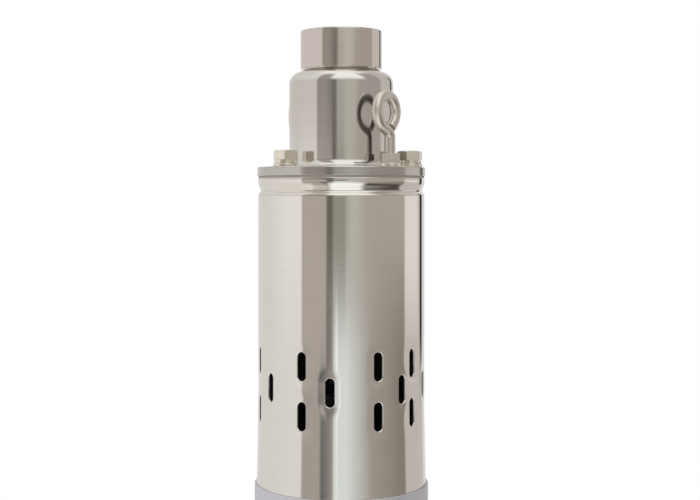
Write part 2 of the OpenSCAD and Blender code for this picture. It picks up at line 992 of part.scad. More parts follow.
module bearing_ball_set(z) {
    color("#d8d8d8")
        for (i = [0 : bearing_balls - 1])
            rotate(360 * i / bearing_balls)
                translate([bearing_r, 0, z + bearing_w / 2])
                    sphere(bearing_ball_r, $fn = 32);
}

module bearing_cage(z) {
    cage_h = 2 * (bearing_ball_r + cage_rim);
    color("#8a7a4a")
        difference() {
            ring(bearing_r + cage_t / 2, bearing_r - cage_t / 2, z + bearing_w / 2 - cage_h / 2, cage_h);
            for (i = [0 : bearing_balls - 1])
                rotate(360 * i / bearing_balls)
                    translate([bearing_r, 0, z + bearing_w / 2])
                        sphere(bearing_ball_r + seat_gap);
        }
}

module upper_bearing_outer() {
    bearing_race(bearing_d / 2, bearing_d / 2 - race_t, upper_bearing_z);
}

module upper_bearing_inner() {
    bearing_race(shaft_r + race_t, shaft_r + seat_gap / 2, upper_bearing_z);
}

module upper_bearing_balls() {
    bearing_ball_set(upper_bearing_z);
}

module upper_bearing_cage() {
    bearing_cage(upper_bearing_z);
}

module lower_bearing_outer() {
    bearing_race(bearing_d / 2, bearing_d / 2 - race_t, lower_bearing_z);
}

module lower_bearing_inner() {
    bearing_race(shaft_r + race_t, shaft_r + seat_gap / 2, lower_bearing_z);
}

module lower_bearing_balls() {
    bearing_ball_set(lower_bearing_z);
}

module lower_bearing_cage() {
    bearing_cage(lower_bearing_z);
}

module motor_shaft() {
    shaft_chamfer = 1;
    color("#bfbfbd")
        rotate_extrude()
            polygon([
                [0, lower_bearing_z - shaft_chamfer],
                [shaft_r - shaft_chamfer, lower_bearing_z - shaft_chamfer],
                [shaft_r, lower_bearing_z],
                [shaft_r, lower_bearing_z + bearing_w],
                [core_shaft_r, lower_bearing_z + bearing_w],
                [core_shaft_r, upper_bearing_z],
                [shaft_r, upper_bearing_z],
                [shaft_r, cup_bottom_z],
                [thread_r(shaft_d), cup_bottom_z],
                [thread_r(shaft_d), cup_floor_z],
                [0, cup_floor_z]
            ]);
}

module rotor_core() {
    color("#77757a")
        ring(rotor_r, core_shaft_r + seat_gap, core_z, core_top_z - core_z);
}

module rotor_end_rings() {
    color("#b8babd")
        for (z = [core_z - end_ring_h, core_top_z])
            ring(rotor_r - end_ring_inset, rotor_r - end_ring_inset - end_ring_w, z, end_ring_h);
}

module stator_core() {
    color("#6d6b70")
        ring(tube_in_r - seat_gap, core_bore_r, core_z, core_top_z - core_z);
}

// The heads of the copper winding, domed away from the core
module winding(z, up) {
    in_r = core_bore_r + winding_inset;
    out_r = tube_in_r - housing_wall - winding_gap;
    round_r = min(winding_round, (out_r - in_r) / 2);
    color("#b06a3a")
        translate([0, 0, z])
            mirror([0, 0, up ? 0 : 1])
                rotate_extrude()
                    union() {
                        translate([in_r, 0])
                            square([out_r - in_r, winding_h - round_r]);
                        translate([in_r + round_r, 0])
                            square([out_r - in_r - 2 * round_r, winding_h]);
                        for (x = [in_r + round_r, out_r - round_r])
                            translate([x, winding_h - round_r])
                                circle(round_r);
                    }
}

module winding_upper() {
    winding(core_top_z, true);
}

module winding_lower() {
    winding(core_z, false);
}

module motor_tube() {
    color("#cdc8c0")
        ring(tube_r, tube_in_r, cap_h, motor_l);
}

module lower_bearing_housing() {
    r = tube_in_r - seat_gap;
    web_z = cap_h + housing_drop;
    color("#9b9a9d")
        difference() {
            rotate_extrude()
                polygon([
                    [housing_bore_r, web_z],
                    [r - housing_wall, web_z],
                    [r - housing_wall, cap_h],
                    [r, cap_h],
                    [r, lower_ring_z - ring_groove_h / 2],
                    [r - ring_groove_d, lower_ring_z - ring_groove_h / 2],
                    [r - ring_groove_d, lower_ring_z + ring_groove_h / 2],
                    [r, lower_ring_z + ring_groove_h / 2],
                    [r, cap_h + housing_h],
                    [r - housing_wall, cap_h + housing_h],
                    [r - housing_wall, web_z + housing_web],
                    [hub_r, web_z + housing_web],
                    [hub_r, lower_bearing_z + bearing_seat_h],
                    [bearing_d / 2 + seat_gap, lower_bearing_z + bearing_seat_h],
                    [bearing_d / 2 + seat_gap, lower_bearing_z],
                    [race_relief_r, lower_bearing_z],
                    [race_relief_r, lower_bearing_z - bearing_relief],
                    [housing_bore_r, lower_bearing_z - bearing_relief]
                ]);
            cap_screw_places()
                translate([0, 0, cap_h - 1])
                    cylinder(r = core_r(cap_screw_d), h = cap_thread_l + 2);
        }
}

module lower_o_ring() {
    color("#1b1b1b")
        o_ring(tube_in_r - ring_section_r - seat_gap, ring_section_r, lower_ring_z);
}

module cap_screw_places() {
    for (i = [0 : cap_screw_count - 1])
        rotate(45 + 360 * i / cap_screw_count)
            translate([cap_screw_r, 0, 0])
                children();
}

// A rubber cup, its rim held between the cap and the bearing housing
module diaphragm() {
    rim_r = tube_in_r - seat_gap;
    cup_out_r = tube_r - cap_wall - diaphragm_clear;
    cup_in_r = cup_out_r - diaphragm_t;
    rim_bottom = cap_h - diaphragm_t;
    color("#222222")
        difference() {
            rotate_extrude()
                polygon([
                    [0, rim_bottom - diaphragm_depth],
                    [cup_out_r - diaphragm_slope, rim_bottom - diaphragm_depth],
                    [cup_out_r, rim_bottom],
                    [rim_r, rim_bottom],
                    [rim_r, cap_h],
                    [cup_in_r, cap_h],
                    [cup_in_r - diaphragm_slope, cap_h - diaphragm_depth],
                    [0, cap_h - diaphragm_depth]
                ]);
            cap_screw_places()
                cylinder(r = cap_screw_d / 2 + cap_hole_gap, h = cap_h + 1);
        }
}

module bottom_cap() {
    chamfer = 2;
    in_r = tube_r - cap_wall;
    rim_r = tube_in_r;
    color("#b9b5ae")
        difference() {
            rotate_extrude($fn = 96)
                polygon([
                    [cap_hole_r, 0],
                    [tube_r - chamfer, 0],
                    [tube_r, chamfer],
                    [tube_r, cap_h],
                    [rim_r, cap_h],
                    [rim_r, cap_h - diaphragm_t],
                    [in_r, cap_h - diaphragm_t],
                    [in_r, cap_floor + cap_fillet],
                    [in_r - cap_fillet, cap_floor],
                    [cap_hole_r, cap_floor]
                ]);
            cap_screw_places() {
                translate([0, 0, -1])
                    cylinder(r = 0.9 * cap_screw_d, h = cap_screw_head_h + cap_screw_sink + 1);
                cylinder(r = cap_screw_d / 2 + cap_hole_gap, h = cap_h + 1);
            }
        }
}

module cap_screws() {
    color("#b3ad98")
        cap_screw_places()
            difference() {
                union() {
                    translate([0, 0, cap_screw_sink])
                        cylinder(r = 0.85 * cap_screw_d, h = cap_screw_head_h);
                    translate([0, 0, cap_screw_head_h])
                        cylinder(r = cap_screw_d / 2, h = cap_h - diaphragm_t - cap_screw_head_h);
                    translate([0, 0, cap_h - diaphragm_t])
                        cylinder(r = thread_r(cap_screw_d), h = cap_thread_l);
                }
                cylinder(r = hex_r(0.8 * cap_screw_d), h = cap_screw_sink + 0.6 * cap_screw_head_h, $fn = 6);
            }
}

outlet_socket();
discharge_head();
head_gasket();
tapped_ring();
head_bolts();
bolt_spring_washers();
bolt_flat_washers();
eye_bolt_front();
eye_bolt_rear();
eye_bolt_nuts();
eye_bolt_washers();
pump_tube();
stator_tube();
stator_rubber();
screw_rotor();
rotor_cup();
upper_joint_pin();
upper_joint_boot();
lower_joint_boot();
drive_rod();
shaft_cup();
lower_joint_pin();
sand_slinger();
seal_spring();
seal_bellows();
seal_face();
seal_seat();
seal_seat_ring();
motor_top_flange();
gland_nut();
gland_grommet();
oil_plug();
upper_o_ring();
upper_bearing_outer();
upper_bearing_inner();
upper_bearing_balls();
upper_bearing_cage();
motor_shaft();
rotor_core();
rotor_end_rings();
stator_core();
winding_upper();
winding_lower();
motor_tube();
lower_bearing_outer();
lower_bearing_inner();
lower_bearing_balls();
lower_bearing_cage();
lower_bearing_housing();
lower_o_ring();
diaphragm();
bottom_cap();
cap_screws();
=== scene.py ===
"""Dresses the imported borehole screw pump: turned and polished steel, fasteners, cable gland and a plain studio."""

import json
import math

import bmesh
import bpy
import numpy as np
from bpy.props import FloatProperty, FloatVectorProperty, IntProperty, PointerProperty
from mathutils import Matrix, Vector


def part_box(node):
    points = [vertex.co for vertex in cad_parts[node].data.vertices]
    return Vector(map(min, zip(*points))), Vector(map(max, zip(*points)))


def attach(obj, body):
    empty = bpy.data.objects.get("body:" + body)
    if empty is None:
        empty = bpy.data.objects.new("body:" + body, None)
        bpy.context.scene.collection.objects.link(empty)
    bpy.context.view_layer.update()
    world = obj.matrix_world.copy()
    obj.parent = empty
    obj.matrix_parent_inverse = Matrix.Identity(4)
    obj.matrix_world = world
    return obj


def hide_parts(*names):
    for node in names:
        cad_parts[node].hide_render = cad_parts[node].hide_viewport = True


bl_info = {
    "name": "Borehole pump dressing",
    "version": (1, 0, 0),
    "blender": (4, 5, 0),
    "location": "View3D > Sidebar > Pump",
    "description": "Builds the finished pieces of a borehole screw pump around its packed solids",
    "category": "Object",
}

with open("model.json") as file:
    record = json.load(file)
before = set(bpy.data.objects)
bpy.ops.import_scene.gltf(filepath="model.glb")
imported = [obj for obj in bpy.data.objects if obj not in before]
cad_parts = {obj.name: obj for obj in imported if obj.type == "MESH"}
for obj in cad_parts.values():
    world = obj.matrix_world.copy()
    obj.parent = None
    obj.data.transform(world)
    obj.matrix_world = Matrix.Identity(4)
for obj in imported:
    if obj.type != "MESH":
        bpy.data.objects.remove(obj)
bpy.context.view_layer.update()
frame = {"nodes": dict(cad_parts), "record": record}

TUBE_FOOT, TUBE_RIM = (corner.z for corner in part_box("pump_tube"))
MOTOR_FOOT, MOTOR_TOP = (corner.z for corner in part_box("motor_tube"))
HEAD_FOOT, HEAD_TOP = (corner.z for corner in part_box("discharge_head"))
SOCKET_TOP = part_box("outlet_socket")[1].z
GASKET_FOOT, GASKET_TOP = (corner.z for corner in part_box("head_gasket"))
WASHER_FOOT, WASHER_TOP = (corner.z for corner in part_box("bolt_flat_washers"))
SPRING_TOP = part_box("bolt_spring_washers")[1].z
BOLT_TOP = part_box("head_bolts")[1].z
NUT_FOOT, NUT_TOP = (corner.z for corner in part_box("eye_bolt_nuts"))

MM = 0.001
TINY = 1e-6
BODY = "pump_body"

# Places round the axis, in degrees from +X towards +Y, and how each fastener is turned on its own axis
SLOT_ANGLES = (-116.5, -68.25, -15.9, 14.7, 49.0, 100.0, 158.0, 211.0)
SLOT_ROWS = 3
BOLTS = ((-90, 17), (30, 4), (150, 20))
EYES = {"eye_bolt_front": (0, 102.5, 30), "eye_bolt_rear": (180, 133, 10)}
GLAND_ANGLE = 90
PLUG_ANGLE = 215
CAP_SCREW_ANGLES = (45, 135, 225, 315)


# Settings


def length(name, description, default):
    return FloatProperty(name=name, description=description, default=default, min=0.0, unit="LENGTH", precision=5)


def angle(name, description, degrees):
    return FloatProperty(name=name, description=description, default=math.radians(degrees), subtype="ANGLE")


def colour(name, description, default):
    return FloatVectorProperty(name=name, description=description, default=default, subtype="COLOR", min=0.0, max=1.0)


class TubeSettings(bpy.types.PropertyGroup):
    """Sizes of the pump tube and the motor tube"""

    radius: length("Radius", "Outside radius of both tubes", 48 * MM)
    wall: length("Wall", "Wall of both tubes", 1.5 * MM)
    flare: length("Flare", "How far the foot of the pump tube stands out", 0.85 * MM)
    flare_length: length("Flare length", "Length of the flared foot", 55 * MM)
    groove_drop: length("Groove drop", "From the rim down to the rolled groove", 3.6 * MM)
    groove_height: length("Groove height", "Height of the rolled groove", 5.8 * MM)
    groove_depth: length("Groove depth", "Depth of the rolled groove", 1.7 * MM)
    slot_width: length("Slot width", "Width of an intake slot", 5 * MM)
    slot_length: length("Slot length", "Length of an intake slot", 15.5 * MM)
    slot_rise: length("Slot rise", "From the foot up to the middle of the upper row", 71.5 * MM)
    slot_step: length("Slot step", "Distance between slot rows", 13.7 * MM)
    slot_stagger: FloatProperty(name="Slot stagger", description="Turn of the middle row, degrees", default=19.7)
    slot_chamfer: length("Slot chamfer", "Broken edge round a slot", 0.55 * MM)
    dish_depth: length("Dish depth", "How far the punch pulled the wall in round a slot", 0.17 * MM)
    dish_reach: length("Dish reach", "How far that pull reaches", 3.4 * MM)
    steps: IntProperty(name="Steps", description="Sides of a tube", default=288, min=48)


class HeadSettings(bpy.types.PropertyGroup):
    """Sizes of the discharge head and the outlet socket"""

    flange_radius: length("Flange radius", "Outside radius of the head flange", 48.5 * MM)
    flange_thickness: length("Flange thickness", "Thickness of the head flange", 5.2 * MM)
    bell_radius: length("Bell radius", "Outside radius of the bell", 30 * MM)
    bell_wall: length("Bell wall", "Wall of the bell", 3 * MM)
    shoulder: length("Shoulder", "Rounding at the top of the bell", 7 * MM)
    root: length("Root", "Fillet between bell and flange", 4.2 * MM)
    socket_radius: length("Socket radius", "Outside radius of the outlet socket", 23.5 * MM)
    neck_height: length("Neck height", "Height of the neck under the socket", 1.8 * MM)
    neck_inset: length("Neck inset", "How far the foot of the neck stands in", 0.1 * MM)
    undercut: length("Undercut", "How far the neck is cut in under the socket", 2.6 * MM)
    bore: length("Bore", "Radius of the outlet at the crests of its thread", 15.15 * MM)
    thread_depth: length("Thread depth", "Depth of the pipe thread", 1.48 * MM)
    thread_pitch: length("Thread pitch", "Pitch of the pipe thread", 2.309 * MM)


class FastenerSettings(bpy.types.PropertyGroup):
    """Sizes of the bolts, washers and eye bolts on the head flange"""

    circle: length("Bolt circle", "Radius of the bolt circle", 41 * MM)
    bolt_flats: length("Bolt flats", "Width across flats of the bolts", 13 * MM)
    bolt_shank: length("Bolt shank", "Radius of a bolt's shank", 4 * MM)
    washer_width: length("Washer width", "Width of a flat washer's ring", 3.2 * MM)
    spring_width: length("Spring washer width", "Width of a spring washer's ring", 2.4 * MM)
    nut_flats: length("Nut flats", "Width across flats of the eye bolt nuts", 10 * MM)
    rod: length("Eye rod", "Radius of the rod of the eye bolts", 3.0 * MM)
    bend_rise: length("Bend rise", "Height of the bend above the flange", 15.5 * MM)
    bend_radius: length("Bend radius", "Radius of the bend", 5 * MM)
    bend: angle("Bend", "How far the rod bends aside", 65)
    run: length("Run", "Straight run between bend and loop", 4.85 * MM)
    loop: length("Loop", "Radius of the loop at the middle of the rod", 8.95 * MM)
    loop_angle: angle("Loop angle", "How far the rod runs round the loop", 284)
    tail: length("Tail", "Straight tail from the loop back to the shank", 4 * MM)


class MotorSettings(bpy.types.PropertyGroup):
    """Sizes of the motor's top flange, cable gland, oil plug and bottom cap"""

    collar_radius: length("Collar radius", "Outside radius of the top flange", 50 * MM)
    gland_flat: length("Gland flat", "Depth of the flat milled for the gland", 7 * MM)
    pocket_width: length("Pocket width", "Width of that flat", 32 * MM)
    pocket_height: length("Pocket height", "Height of that flat", 26 * MM)
    gland_flats: length("Gland flats", "Width across flats of the gland nut", 20 * MM)
    gland_nut: length("Gland nut", "Height of the gland nut", 6 * MM)
    cable: length("Cable", "Radius of the cable the gland is made for", 3.5 * MM)
    plug_radius: length("Plug radius", "Radius of the oil plug's head", 6.8 * MM)
    plug_sink: length("Plug sink", "Depth of the oil plug's counterbore", 5 * MM)
    cap_chamfer: length("Cap chamfer", "Chamfer at the base of the bottom cap", 2 * MM)


class FinishSettings(bpy.types.PropertyGroup):
    """Colours of the finishes"""

    tube: colour("Tube", "Polished stainless tube", (0.74, 0.715, 0.675))
    head: colour("Head", "Satin stainless head", (0.70, 0.68, 0.645))
    socket: colour("Socket", "Brighter turned stainless of the socket", (0.74, 0.70, 0.66))
    plated: colour("Plated", "Faintly yellow plated steel", (0.84, 0.80, 0.70))
    nut: colour("Nut", "Lighter matt steel of the eye bolt nuts", (0.80, 0.76, 0.70))
    rod: colour("Rod", "Matt grainy rod", (0.70, 0.655, 0.60))
    gasket: colour("Gasket", "Brown fibre gasket", (0.27, 0.235, 0.20))
    casting: colour("Casting", "Grey flange and cap", (0.46, 0.455, 0.485))
    rubber: colour("Rubber", "Black rubber", (0.022, 0.021, 0.020))
    copper: colour("Copper", "Varnished copper wire", (0.55, 0.22, 0.08))
    brass: colour("Brass", "Pressed brass", (0.60, 0.47, 0.20))
    iron: colour("Iron", "Varnished sheet stack", (0.12, 0.12, 0.125))


class StudioSettings(bpy.types.PropertyGroup):
    """Camera and light"""

    azimuth: FloatProperty(name="Azimuth", description="Camera's place round the pump, degrees", default=49.0)
    distance: length("Distance", "Camera's distance from the pump's axis", 744 * MM)
    height: length("Height", "Camera's height above the floor", 496 * MM)
    lens: FloatProperty(name="Lens", description="Focal length, millimetres", default=66.14)
    floor_radius: length("Floor", "Radius of the floor", 1.2)
    fill: FloatProperty(name="Fill", description="Strength of the soft light from all round", default=0.8, min=0.0)
    key: FloatProperty(name="Key", description="Power of the key lamp, watts", default=14.0, min=0.0)


# Shader nodes


class Wire:
    """A node's output. Sums on it add Math nodes to its tree."""

    def __init__(self, nodes, socket):
        self.nodes = nodes
        self.socket = socket

    def out(self, name):
        return Wire(self.nodes, self.socket.node.outputs[name])

    def _math(self, operation, first, second):
        return self.nodes.add("ShaderNodeMath", {"operation": operation}, {0: first, 1: second})

    def __add__(self, other):
        return self._math("ADD", self, other)

    def __radd__(self, other):
        return self._math("ADD", other, self)

    def __sub__(self, other):
        return self._math("SUBTRACT", self, other)

    def __mul__(self, other):
        return self._math("MULTIPLY", self, other)

    def __rmul__(self, other):
        return self._math("MULTIPLY", other, self)


class Nodes:
    """A node tree that nodes are added to, each with its settings and then its inputs."""

    def __init__(self, tree):
        self.tree = tree
        tree.nodes.clear()

    def add(self, kind, settings=None, inputs=None, output=0):
        node = self.tree.nodes.new(kind)
        for key, value in (settings or {}).items():
            setattr(node, key, value)
        for key, value in (inputs or {}).items():
            if isinstance(value, Wire):
                self.tree.links.new(value.socket, node.inputs[key])
            else:
                node.inputs[key].default_value = value
        return Wire(self, node.outputs[output]) if node.outputs else None

    def object_noise(self, scale, detail=3.0, rough=0.55):
        """Noise over the piece, its Object coordinates multiplied by scale."""
        place = self.add("ShaderNodeTexCoord", output="Object")
        sized = self.add("ShaderNodeMapping", None, {"Vector": place, "Scale": scale})
        return self.add(
            "ShaderNodeTexNoise", None, {"Vector": sized, "Scale": 1.0, "Detail": detail, "Roughness": rough}, "Fac"
        )

    def blend(self, low, high, share):
        """A colour between low and high."""
        return self.add(
            "ShaderNodeMix",
            {"data_type": "RGBA"},
            {"Factor": share, "A": self._colour(low), "B": self._colour(high)},
            "Result",
        )

    def _colour(self, value):
        return value if isinstance(value, Wire) else (*value, 1.0)

    def share(self, value, begin, end, settings=None):
        """0 where the value is at begin or before it, 1 at end or past it."""
        return self.add("ShaderNodeMapRange", settings, {"Value": value, "From Min": begin, "From Max": end})

    def bump(self, strength, distance, height):
        return self.add("ShaderNodeBump", None, {"Strength": strength, "Distance": distance, "Height": height})


def shade(rgb, factor):
    return tuple(min(1.0, c * factor) for c in rgb)


def new_material(name):
    material = bpy.data.materials.new(name)
    material.use_nodes = True
    return material, Nodes(material.node_tree)


def close_material(nodes, base, rough, bump=None, metallic=0.0, drawn=0.0):
    """Ends a material's nodes. Drawn steel stretches what it mirrors along the piece."""
    inputs = {"Base Color": base, "Roughness": rough, "Metallic": metallic}
    if bump:
        inputs["Normal"] = bump
    if drawn:
        inputs.update({"Anisotropic": drawn, "Anisotropic Rotation": 0.25})
    shader = nodes.add("ShaderNodeBsdfPrincipled", None, inputs)
    nodes.add("ShaderNodeOutputMaterial", None, {"Surface": shader})


def turned_steel(name, rgb, roughness, line_scale, spread, relief, drawn=0.0, dull_below=0.0):
    """Steel with fine marks that run round the piece's axis, and a duller turned edge below a height."""
    material, nodes = new_material(name)
    fine = nodes.object_noise((24, 24, line_scale), detail=2.0)
    broad = nodes.object_noise((9, 9, line_scale / 6), detail=3.0)
    smear = nodes.object_noise((38, 38, 16), detail=4.0)
    marks = fine * 0.5 + broad * 0.5
    tone = marks * 0.7 + smear * 0.3
    base = nodes.blend(shade(rgb, 0.90), shade(rgb, 1.08), tone)
    rough = roughness + (marks - 0.5) * spread + (smear - 0.5) * (spread * 0.6)
    if dull_below:
        place = nodes.add("ShaderNodeTexCoord", output="Object")
        height = nodes.add("ShaderNodeSeparateXYZ", None, {0: place}, "Z")
        dull = nodes.share(height, dull_below, dull_below - 0.3 * MM)
        base = nodes.blend(base, nodes.blend(shade(rgb, 0.66), shade(rgb, 0.88), tone), dull)
        rough = rough + dull * 0.08
    close_material(nodes, base, rough, nodes.bump(relief, 0.04 * MM, marks), 1.0, drawn)
    return material


# Point attribute that carries painted shade on the side of a piece that faces the pump's axis
PAINTED_SHADE = "painted_inward_shade"


def paint_inward_shade(mesh):
    """Marks how far each point of a piece faces the pump's axis, which is where painted shade darkens it."""
    marks = mesh.attributes.new(PAINTED_SHADE, "FLOAT", "POINT")
    for vert, mark in zip(mesh.vertices, marks.data):
        inward = -vert.normal.dot(Vector((vert.co.x, vert.co.y, 0)).normalized())
        mark.value = min(1.0, max(0.0, (inward - 0.56) / 0.2))


def grainy_metal(name, rgb, roughness, grain_scale, relief, metallic=1.0, dark=0.86, shaded=False):
    """Metal with an even grain, from blasting, plating or casting, and painted shade, when shaded is set, on the side
    that faces the pump's axis.
    """
    material, nodes = new_material(name)
    grain = nodes.object_noise((grain_scale,) * 3, detail=5.0, rough=0.65)
    patch = nodes.object_noise((grain_scale / 14,) * 3, detail=3.0)
    tone = grain * 0.5 + patch * 0.5
    base = nodes.blend(shade(rgb, dark), shade(rgb, 1.08), tone)
    if shaded:
        # Painted shade: the colour goes dark where the piece faces the pump's axis
        painted_inward_shade = nodes.add("ShaderNodeAttribute", {"attribute_name": PAINTED_SHADE}, output="Fac")
        base = nodes.blend(base, shade(rgb, 0.25), painted_inward_shade)
    close_material(
        nodes, base, roughness + (patch - 0.5) * 0.22, nodes.bump(relief, 0.1 * MM, grain), metallic
    )
    return material


def matt_rubber(name, rgb):
    """Moulded rubber with a faint bloom."""
    material, nodes = new_material(name)
    grain = nodes.object_noise((900, 900, 900), detail=4.0)
    bloom = nodes.object_noise((45, 45, 45), detail=3.0)
    base = nodes.blend(shade(rgb, 0.8), shade(rgb, 1.5), bloom)
    close_material(nodes, base, 0.62 + (bloom - 0.5) * 0.2, nodes.bump(0.25, 0.1 * MM, grain))
    return material


def glazed(name, rgb, roughness):
    """Lapped carbon or ceramic."""
    material, nodes = new_material(name)
    speck = nodes.object_noise((1400, 1400, 1400), detail=2.0)
    close_material(nodes, nodes.blend(shade(rgb, 0.9), shade(rgb, 1.06), speck), roughness + (speck - 0.5) * 0.1)
    return material


def wound_wire(name, rgb):
    """Varnished copper turns lying side by side round the winding head."""
    material, nodes = new_material(name)
    strands = nodes.object_noise((70, 70, 900), detail=2.0)
    lay = nodes.object_noise((180, 180, 180), detail=3.0)
    base = nodes.blend(shade(rgb, 0.55), shade(rgb, 1.15), strands * 0.6 + lay * 0.4)
    close_material(nodes, base, 0.32 + (lay - 0.5) * 0.2, nodes.bump(0.6, 0.4 * MM, strands), 0.85)
    return material


def stacked_iron(name, rgb):
    """The edges of thin varnished sheets in a stack."""
    material, nodes = new_material(name)
    sheets = nodes.object_noise((4, 4, 2000), detail=1.0)
    base = nodes.blend(shade(rgb, 0.7), shade(rgb, 1.3), sheets)
    close_material(nodes, base, 0.5 + (sheets - 0.5) * 0.2, nodes.bump(0.5, 0.1 * MM, sheets), 0.7)
    return material


FINISHES = {}


def finishes(colours):
    """The materials by record slot, made once."""
    if not FINISHES:
        FINISHES.update(
            polished_tube=turned_steel("polished_tube", colours.tube, 0.08, 5200, 0.05, 0.05, drawn=0.5),
            satin_head=turned_steel(
                "satin_head", colours.head, 0.12, 3600, 0.07, 0.08, drawn=0.6, dull_below=HEAD_FOOT + 5 * MM
            ),
            satin_socket=turned_steel("satin_socket", colours.socket, 0.12, 4200, 0.07, 0.08, drawn=0.6),
            # Painted shade: near black steel for the inside of the pump tube and the walls of its slots
            bare_inside=grainy_metal("bare_inside", (0.05, 0.047, 0.044), 0.6, 900, 0.1, metallic=0.6),
            fibre_sheet=matt_rubber("fibre_sheet", colours.gasket),
            plated_bolts=grainy_metal("plated_bolts", colours.plated, 0.22, 1500, 0.10),
            # The rod and nut finishes take painted shade on the side that faces the pump's axis
            bent_rod=grainy_metal("bent_rod", colours.rod, 0.36, 2100, 0.22, dark=0.80, shaded=True),
            nut_steel=grainy_metal("nut_steel", colours.nut, 0.45, 2100, 0.2, dark=0.8, shaded=True),
            grey_casting=grainy_metal("grey_casting", colours.casting, 0.42, 2600, 0.12, metallic=0.35),
            gland_steel=turned_steel("gland_steel", shade(colours.head, 0.95), 0.28, 3000, 0.12, 0.16),
            inner_steel=turned_steel("inner_steel", shade(colours.head, 0.85), 0.34, 1800, 0.14, 0.25),
            screw_chrome=turned_steel("screw_chrome", (0.72, 0.72, 0.72), 0.10, 2600, 0.05, 0.05),
            bearing_steel=turned_steel("bearing_steel", (0.70, 0.70, 0.69), 0.12, 4200, 0.06, 0.06),
            cage_brass=grainy_metal("cage_brass", colours.brass, 0.30, 1600, 0.10),
            black_rubber=matt_rubber("black_rubber", colours.rubber),
            seal_carbon=glazed("seal_carbon", (0.03, 0.03, 0.032), 0.28),
            seal_ceramic=glazed("seal_ceramic", (0.78, 0.75, 0.68), 0.22),
            core_iron=stacked_iron("core_iron", colours.iron),
            cage_aluminium=grainy_metal("cage_aluminium", (0.62, 0.63, 0.65), 0.40, 1300, 0.2),
            copper_winding=wound_wire("copper_winding", colours.copper),
        )
    return FINISHES


# Mesh tools


def only(kind, geom):
    return [item for item in geom if isinstance(item, kind)]


def read(items, key, width=1, kind=np.float32):
    """One property of all the items of a mesh, as an array."""
    values = np.zeros(len(items) * width, kind)
    items.foreach_get(key, values)
    return values.reshape(-1, width) if width > 1 else values


def to_mesh(bm, name):
    """A mesh made from a bmesh, which is used up."""
    mesh = bpy.data.meshes.new(name)
    bm.to_mesh(mesh)
    bm.free()
    return mesh


def turned(corners, steps=128, segments=5):
    """A ring turned about Z from (radius, height, rounding) corners of its section."""
    bm = bmesh.new()
    points = [bm.verts.new((r, 0.0, z)) for r, z, _ in corners]
    sides = [bm.edges.new(pair) for pair in zip(points, points[1:] + points[:1])]
    bmesh.ops.spin(bm, geom=points + sides, axis=(0, 0, 1), angle=math.tau, steps=steps, use_merge=True)
    bmesh.ops.remove_doubles(bm, verts=bm.verts, dist=TINY)
    bmesh.ops.recalc_face_normals(bm, faces=bm.faces)
    for r, z, rounding in corners:
        if rounding:
            round_off(bm, ring_edges(bm, r, z), rounding, segments)
    return bm


def ring(inner, outer, low, high, roundings, steps=64, segments=5):
    """A plain ring. Its roundings go round its section from the inner edge of its foot."""
    places = ((inner, low), (outer, low), (outer, high), (inner, high))
    return turned([(*place, rounding) for place, rounding in zip(places, roundings)], steps, segments)


def wound(section, foot, angle, steps, rise):
    """A coil that winds up about Z from a section of (radius, height) corners."""
    bm = bmesh.new()
    points = [bm.verts.new((r, 0, foot + z)) for r, z in section]
    bm.faces.new(points)
    geom = points + bm.edges[:]
    climb = (0, 0, rise / steps)
    end = bmesh.ops.spin(bm, geom=geom, axis=(0, 0, 1), angle=angle, steps=steps, dvec=climb)["geom_last"]
    bmesh.ops.contextual_create(bm, geom=only(bmesh.types.BMEdge, end))
    bmesh.ops.recalc_face_normals(bm, faces=bm.faces)
    return bm


def ring_edges(bm, r, z):
    return [
        e for e in bm.edges if all(abs(v.co.z - z) < TINY and abs(v.co.xy.length - r) < 10 * TINY for v in e.verts)
    ]


def round_off(bm, edges, offset, segments):
    bmesh.ops.bevel(
        bm,
        geom=edges,
        offset=offset,
        offset_type="OFFSET",
        segments=segments,
        profile=0.5,
        affect="EDGES",
        clamp_overlap=True,
        material=-1,
    )


def prism(outline_steps, radius, z, height, turn=0.0, bevel=0.0):
    """An upright prism with a regular outline, its corners counted from +X."""
    bm = bmesh.new()
    made = bmesh.ops.create_circle(bm, cap_ends=True, segments=outline_steps, radius=radius)
    first = math.degrees(math.atan2(made["verts"][0].co.y, made["verts"][0].co.x))
    turn_bm(bm, turn - first)
    made = bmesh.ops.extrude_face_region(bm, geom=bm.faces[:], use_keep_orig=True)["geom"]
    bmesh.ops.translate(bm, vec=(0, 0, height), verts=only(bmesh.types.BMVert, made))
    bmesh.ops.recalc_face_normals(bm, faces=bm.faces)
    if bevel:
        upright = [e for e in bm.edges if abs(e.verts[0].co.z - e.verts[1].co.z) > height / 2]
        round_off(bm, upright, bevel, 3)
    bmesh.ops.translate(bm, vec=(0, 0, z), verts=bm.verts)
    return bm


def turn_bm(bm, degrees):
    bmesh.ops.rotate(bm, matrix=Matrix.Rotation(math.radians(degrees), 3, "Z"), verts=bm.verts)
    return bm


def moved(bm, matrix):
    bmesh.ops.transform(bm, matrix=matrix, verts=bm.verts)
    return bm


def joined(parts):
    """One bmesh that holds all the parts."""
    whole = bmesh.new()
    for part in parts:
        mesh = to_mesh(part, "part")
        whole.from_mesh(mesh)
        bpy.data.meshes.remove(mesh)
    return whole


def boolean(bm, tool, operation):
    """bm after an exact Boolean with tool. Both are used up."""
    pair = []
    for name, source in (("work", bm), ("tool", tool)):
        pair.append(bpy.data.objects.new(name, to_mesh(source, name)))
        bpy.context.scene.collection.objects.link(pair[-1])
    work, cutter = pair
    step = work.modifiers.new("cut", "BOOLEAN")
    step.operation = operation
    step.solver = "EXACT"
    step.object = cutter
    depsgraph = bpy.context.evaluated_depsgraph_get()
    result = bpy.data.meshes.new_from_object(work.evaluated_get(depsgraph))
    made = bmesh.new()
    made.from_mesh(result)
    for obj in pair:
        mesh = obj.data
        bpy.data.objects.remove(obj)
        bpy.data.meshes.remove(mesh)
    bpy.data.meshes.remove(result)
    if not made.faces:
        raise RuntimeError("a Boolean left nothing")
    return made


